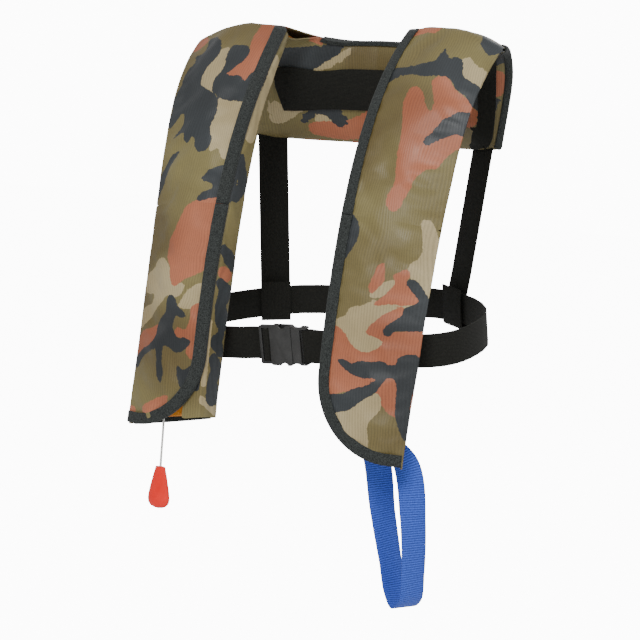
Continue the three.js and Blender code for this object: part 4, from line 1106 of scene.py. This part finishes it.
def lifting_loop():
    """Folded ribbed webbing that hangs open under the wearer's left lobe."""

    def seat(drop, a):
        s = s_at(drop)
        return plain(s, a, back_depth(s, a / width(s)) + 1 + 1.8 + LOOP_THICKNESS / 2)

    near, far = (unit(seat(435, a + 8) - seat(435, a - 8)) for a in (40, 74))
    hung = unit(np.array((0.52, 0.86, 0)))
    route = [
        (seat(396, 40), near), (seat(424, 40), near), ((126, -113, -482), mix(near, hung, 0.3)),
        ((136, -107, -543), mix(near, hung, 0.8)), ((149, -104, -600), hung), ((158, -106, -632), hung),
        ((172, -116, -645), hung), ((186, -126, -633), hung), ((189, -131, -605), hung),
        ((184, -131, -543), mix(far, hung, 0.8)), ((168, -123, -485), mix(far, hung, 0.3)),
        (seat(446, 74), far), (seat(420, 74), far),
    ]
    line = [p for p, _ in route]
    rings, run, last = [], [], None
    profile = [(-1, -0.3), (-0.98, -0.5), (-0.5, -0.55), (0, -0.5), (0.5, -0.55), (0.98, -0.5), (1, -0.3)]
    profile += [(-u, -v) for u, v in profile]
    for t in span(0, 1, 150):
        p = catmull(line, t)
        tangent = unit(catmull(line, min(t + 0.003, 1)) - catmull(line, max(t - 0.003, 0)))
        along = t * (len(route) - 1)
        i = min(int(along), len(route) - 2)
        wide = mix(route[i][1], route[i + 1][1], along - i)
        wide = unit(wide - tangent * (wide @ tangent))
        thick = np.cross(tangent, wide)
        rings.append([p + wide * u * LOOP_HALF_WIDTH + thick * v * LOOP_THICKNESS for u, v in profile])
        run.append(0 if last is None else run[-1] + np.linalg.norm(p - last))
        last = p
    piece = sweep("lifting_loop", rings, BLUE)
    uv = piece.data.uv_layers.new(name="UVMap")
    n = len(profile)
    for loop in piece.data.loops:
        r, i = divmod(loop.vertex_index, n)
        uv.data[loop.index].uv = (run[r] * MM, profile[i][0] * LOOP_HALF_WIDTH * MM)
    settle(piece, "yoke", "blue_webbing", "lift_loop")


lifting_loop()


# ---- pull cord and its handle
HANDLE_TOP = (-129.2, -158.5, -526)
HANDLE_LENGTH = 51
HANDLE_FLATNESS = 0.52  # its depth for one unit of width


def pull_handle():
    """Teardrop moulding, turned and then flattened front to back."""
    bpy.ops.object.select_all(action="DESELECT")
    bpy.ops.mesh.primitive_uv_sphere_add(segments=48, ring_count=40, radius=1)
    piece = bpy.context.object
    piece.name = "teardrop_handle"
    shape = [  # (share of the length, half width)
        (0, 5.6), (0.03, 6.6), (0.1, 7.4), (0.24, 9.3), (0.4, 11.2), (0.55, 12.9), (0.68, 14.1),
        (0.78, 14.5), (0.87, 13.6), (0.94, 10.6), (0.985, 5.4), (1, 0),
    ]
    for v in piece.data.vertices:
        share = math.acos(max(min(v.co.z, 1), -1)) / math.pi
        radius = max(math.hypot(v.co.x, v.co.y), 1e-9)
        reach = np.interp(share, *zip(*shape)) * min(1, share * 60)
        across, deep = v.co.x / radius * reach, v.co.y / radius * reach * HANDLE_FLATNESS
        v.co = (across * MM, deep * MM, -share * HANDLE_LENGTH * MM)
    piece.data.transform(Matrix.Translation(Vector(HANDLE_TOP) * MM))
    piece.data.materials.append(RED_PLASTIC)
    piece.data.shade_smooth()
    return settle(piece, "pull", "red_plastic", "pull_handle")


CORD_THICKNESS = 2.8


def pull_cord(handle):
    """Braided cord from the inflator's lever down into the handle."""
    turns = [
        (-132.8, -144.6, -417.4), (-132.4, -146.6, -424), (-131.8, -150.2, -434), (-130.9, -154, -445),
        (-129.8, -157, -456), (-128.8, -158.4, -468), (-128.6, -158.5, -480), (-128.8, -158.5, -494),
        (-129.1, -158.5, -512), (-129.2, -158.5, -529),
    ]
    line = [catmull(turns, t) * MM for t in span(0, 1, 36)]
    data = bpy.data.curves.new("cord", "CURVE")
    data.dimensions = "3D"
    data.bevel_depth = CORD_THICKNESS / 2 * MM
    data.bevel_resolution = 4
    data.use_fill_caps = True
    spline = data.splines.new("POLY")
    spline.points.add(len(line) - 1)
    for point, place in zip(spline.points, line):
        point.co = (*place, 1)
    data.materials.append(CORD)
    cord = bpy.data.objects.new("pull_cord_braid", data)
    bpy.context.scene.collection.objects.link(cord)
    settle(cord, "pull", "white_cord", "pull_cord")


pull_cord(pull_handle())


# ---- floor and light
def glow(tree, shader, socket, seen, lit):
    """Sets the strength that the lens sees and the strength that lights the jacket."""
    path = tree.nodes.new("ShaderNodeLightPath")
    spread = tree.nodes.new("ShaderNodeMapRange")
    spread.inputs["To Min"].default_value = lit
    spread.inputs["To Max"].default_value = seen
    tree.links.new(path.outputs["Is Camera Ray"], spread.inputs["Value"])
    tree.links.new(spread.outputs[0], shader.inputs[socket])


def studio():
    """A white sweep under even light from all round, with a soft key on the wearer's right."""
    bpy.ops.object.select_all(action="DESELECT")
    bpy.ops.mesh.primitive_plane_add(size=40)
    floor = bpy.context.object
    floor.name = "floor"
    floor.data.transform(Matrix.Translation((0, 0, -0.9)))
    pale = Finish("pale_floor", 0.9)
    cloud = pale.spread(pale.noise(3), 0.3, 0.7, 0, 1)
    pale.colour(pale.blend(cloud, (0.86, 0.86, 0.86), (0.9, 0.9, 0.9)))
    pale.shader.inputs["Emission Color"].default_value = (1, 1, 1, 1)
    glow(pale.material.node_tree, pale.shader, "Emission Strength", 11.2, 0)
    floor.data.materials.append(pale.material)
    world = bpy.data.worlds.new("studio")
    world.use_nodes = True
    sky = world.node_tree.nodes["Background"]
    sky.inputs["Color"].default_value = (1, 1, 1, 1)
    glow(world.node_tree, sky, "Strength", 12, 0.62)
    bpy.context.scene.world = world
    lamps = (  # name, place, size in metres, power in watts
        ("key", (0.5, -2.2, 1.3), 0.9, 42),
        ("side", (2.0, -1.0, 0.3), 1.4, 8),
        ("back", (0.3, 1.8, 1.3), 1.6, 12),
    )
    for name, place, size, power in lamps:
        data = bpy.data.lights.new(name, "AREA")
        data.size = size
        data.energy = power
        lamp = bpy.data.objects.new(name, data)
        bpy.context.scene.collection.objects.link(lamp)
        away = Vector(place) - Vector((0, 0, -0.3))
        lamp.matrix_world = Matrix.Translation(place) @ away.to_track_quat("Z", "Y").to_matrix().to_4x4()


studio()
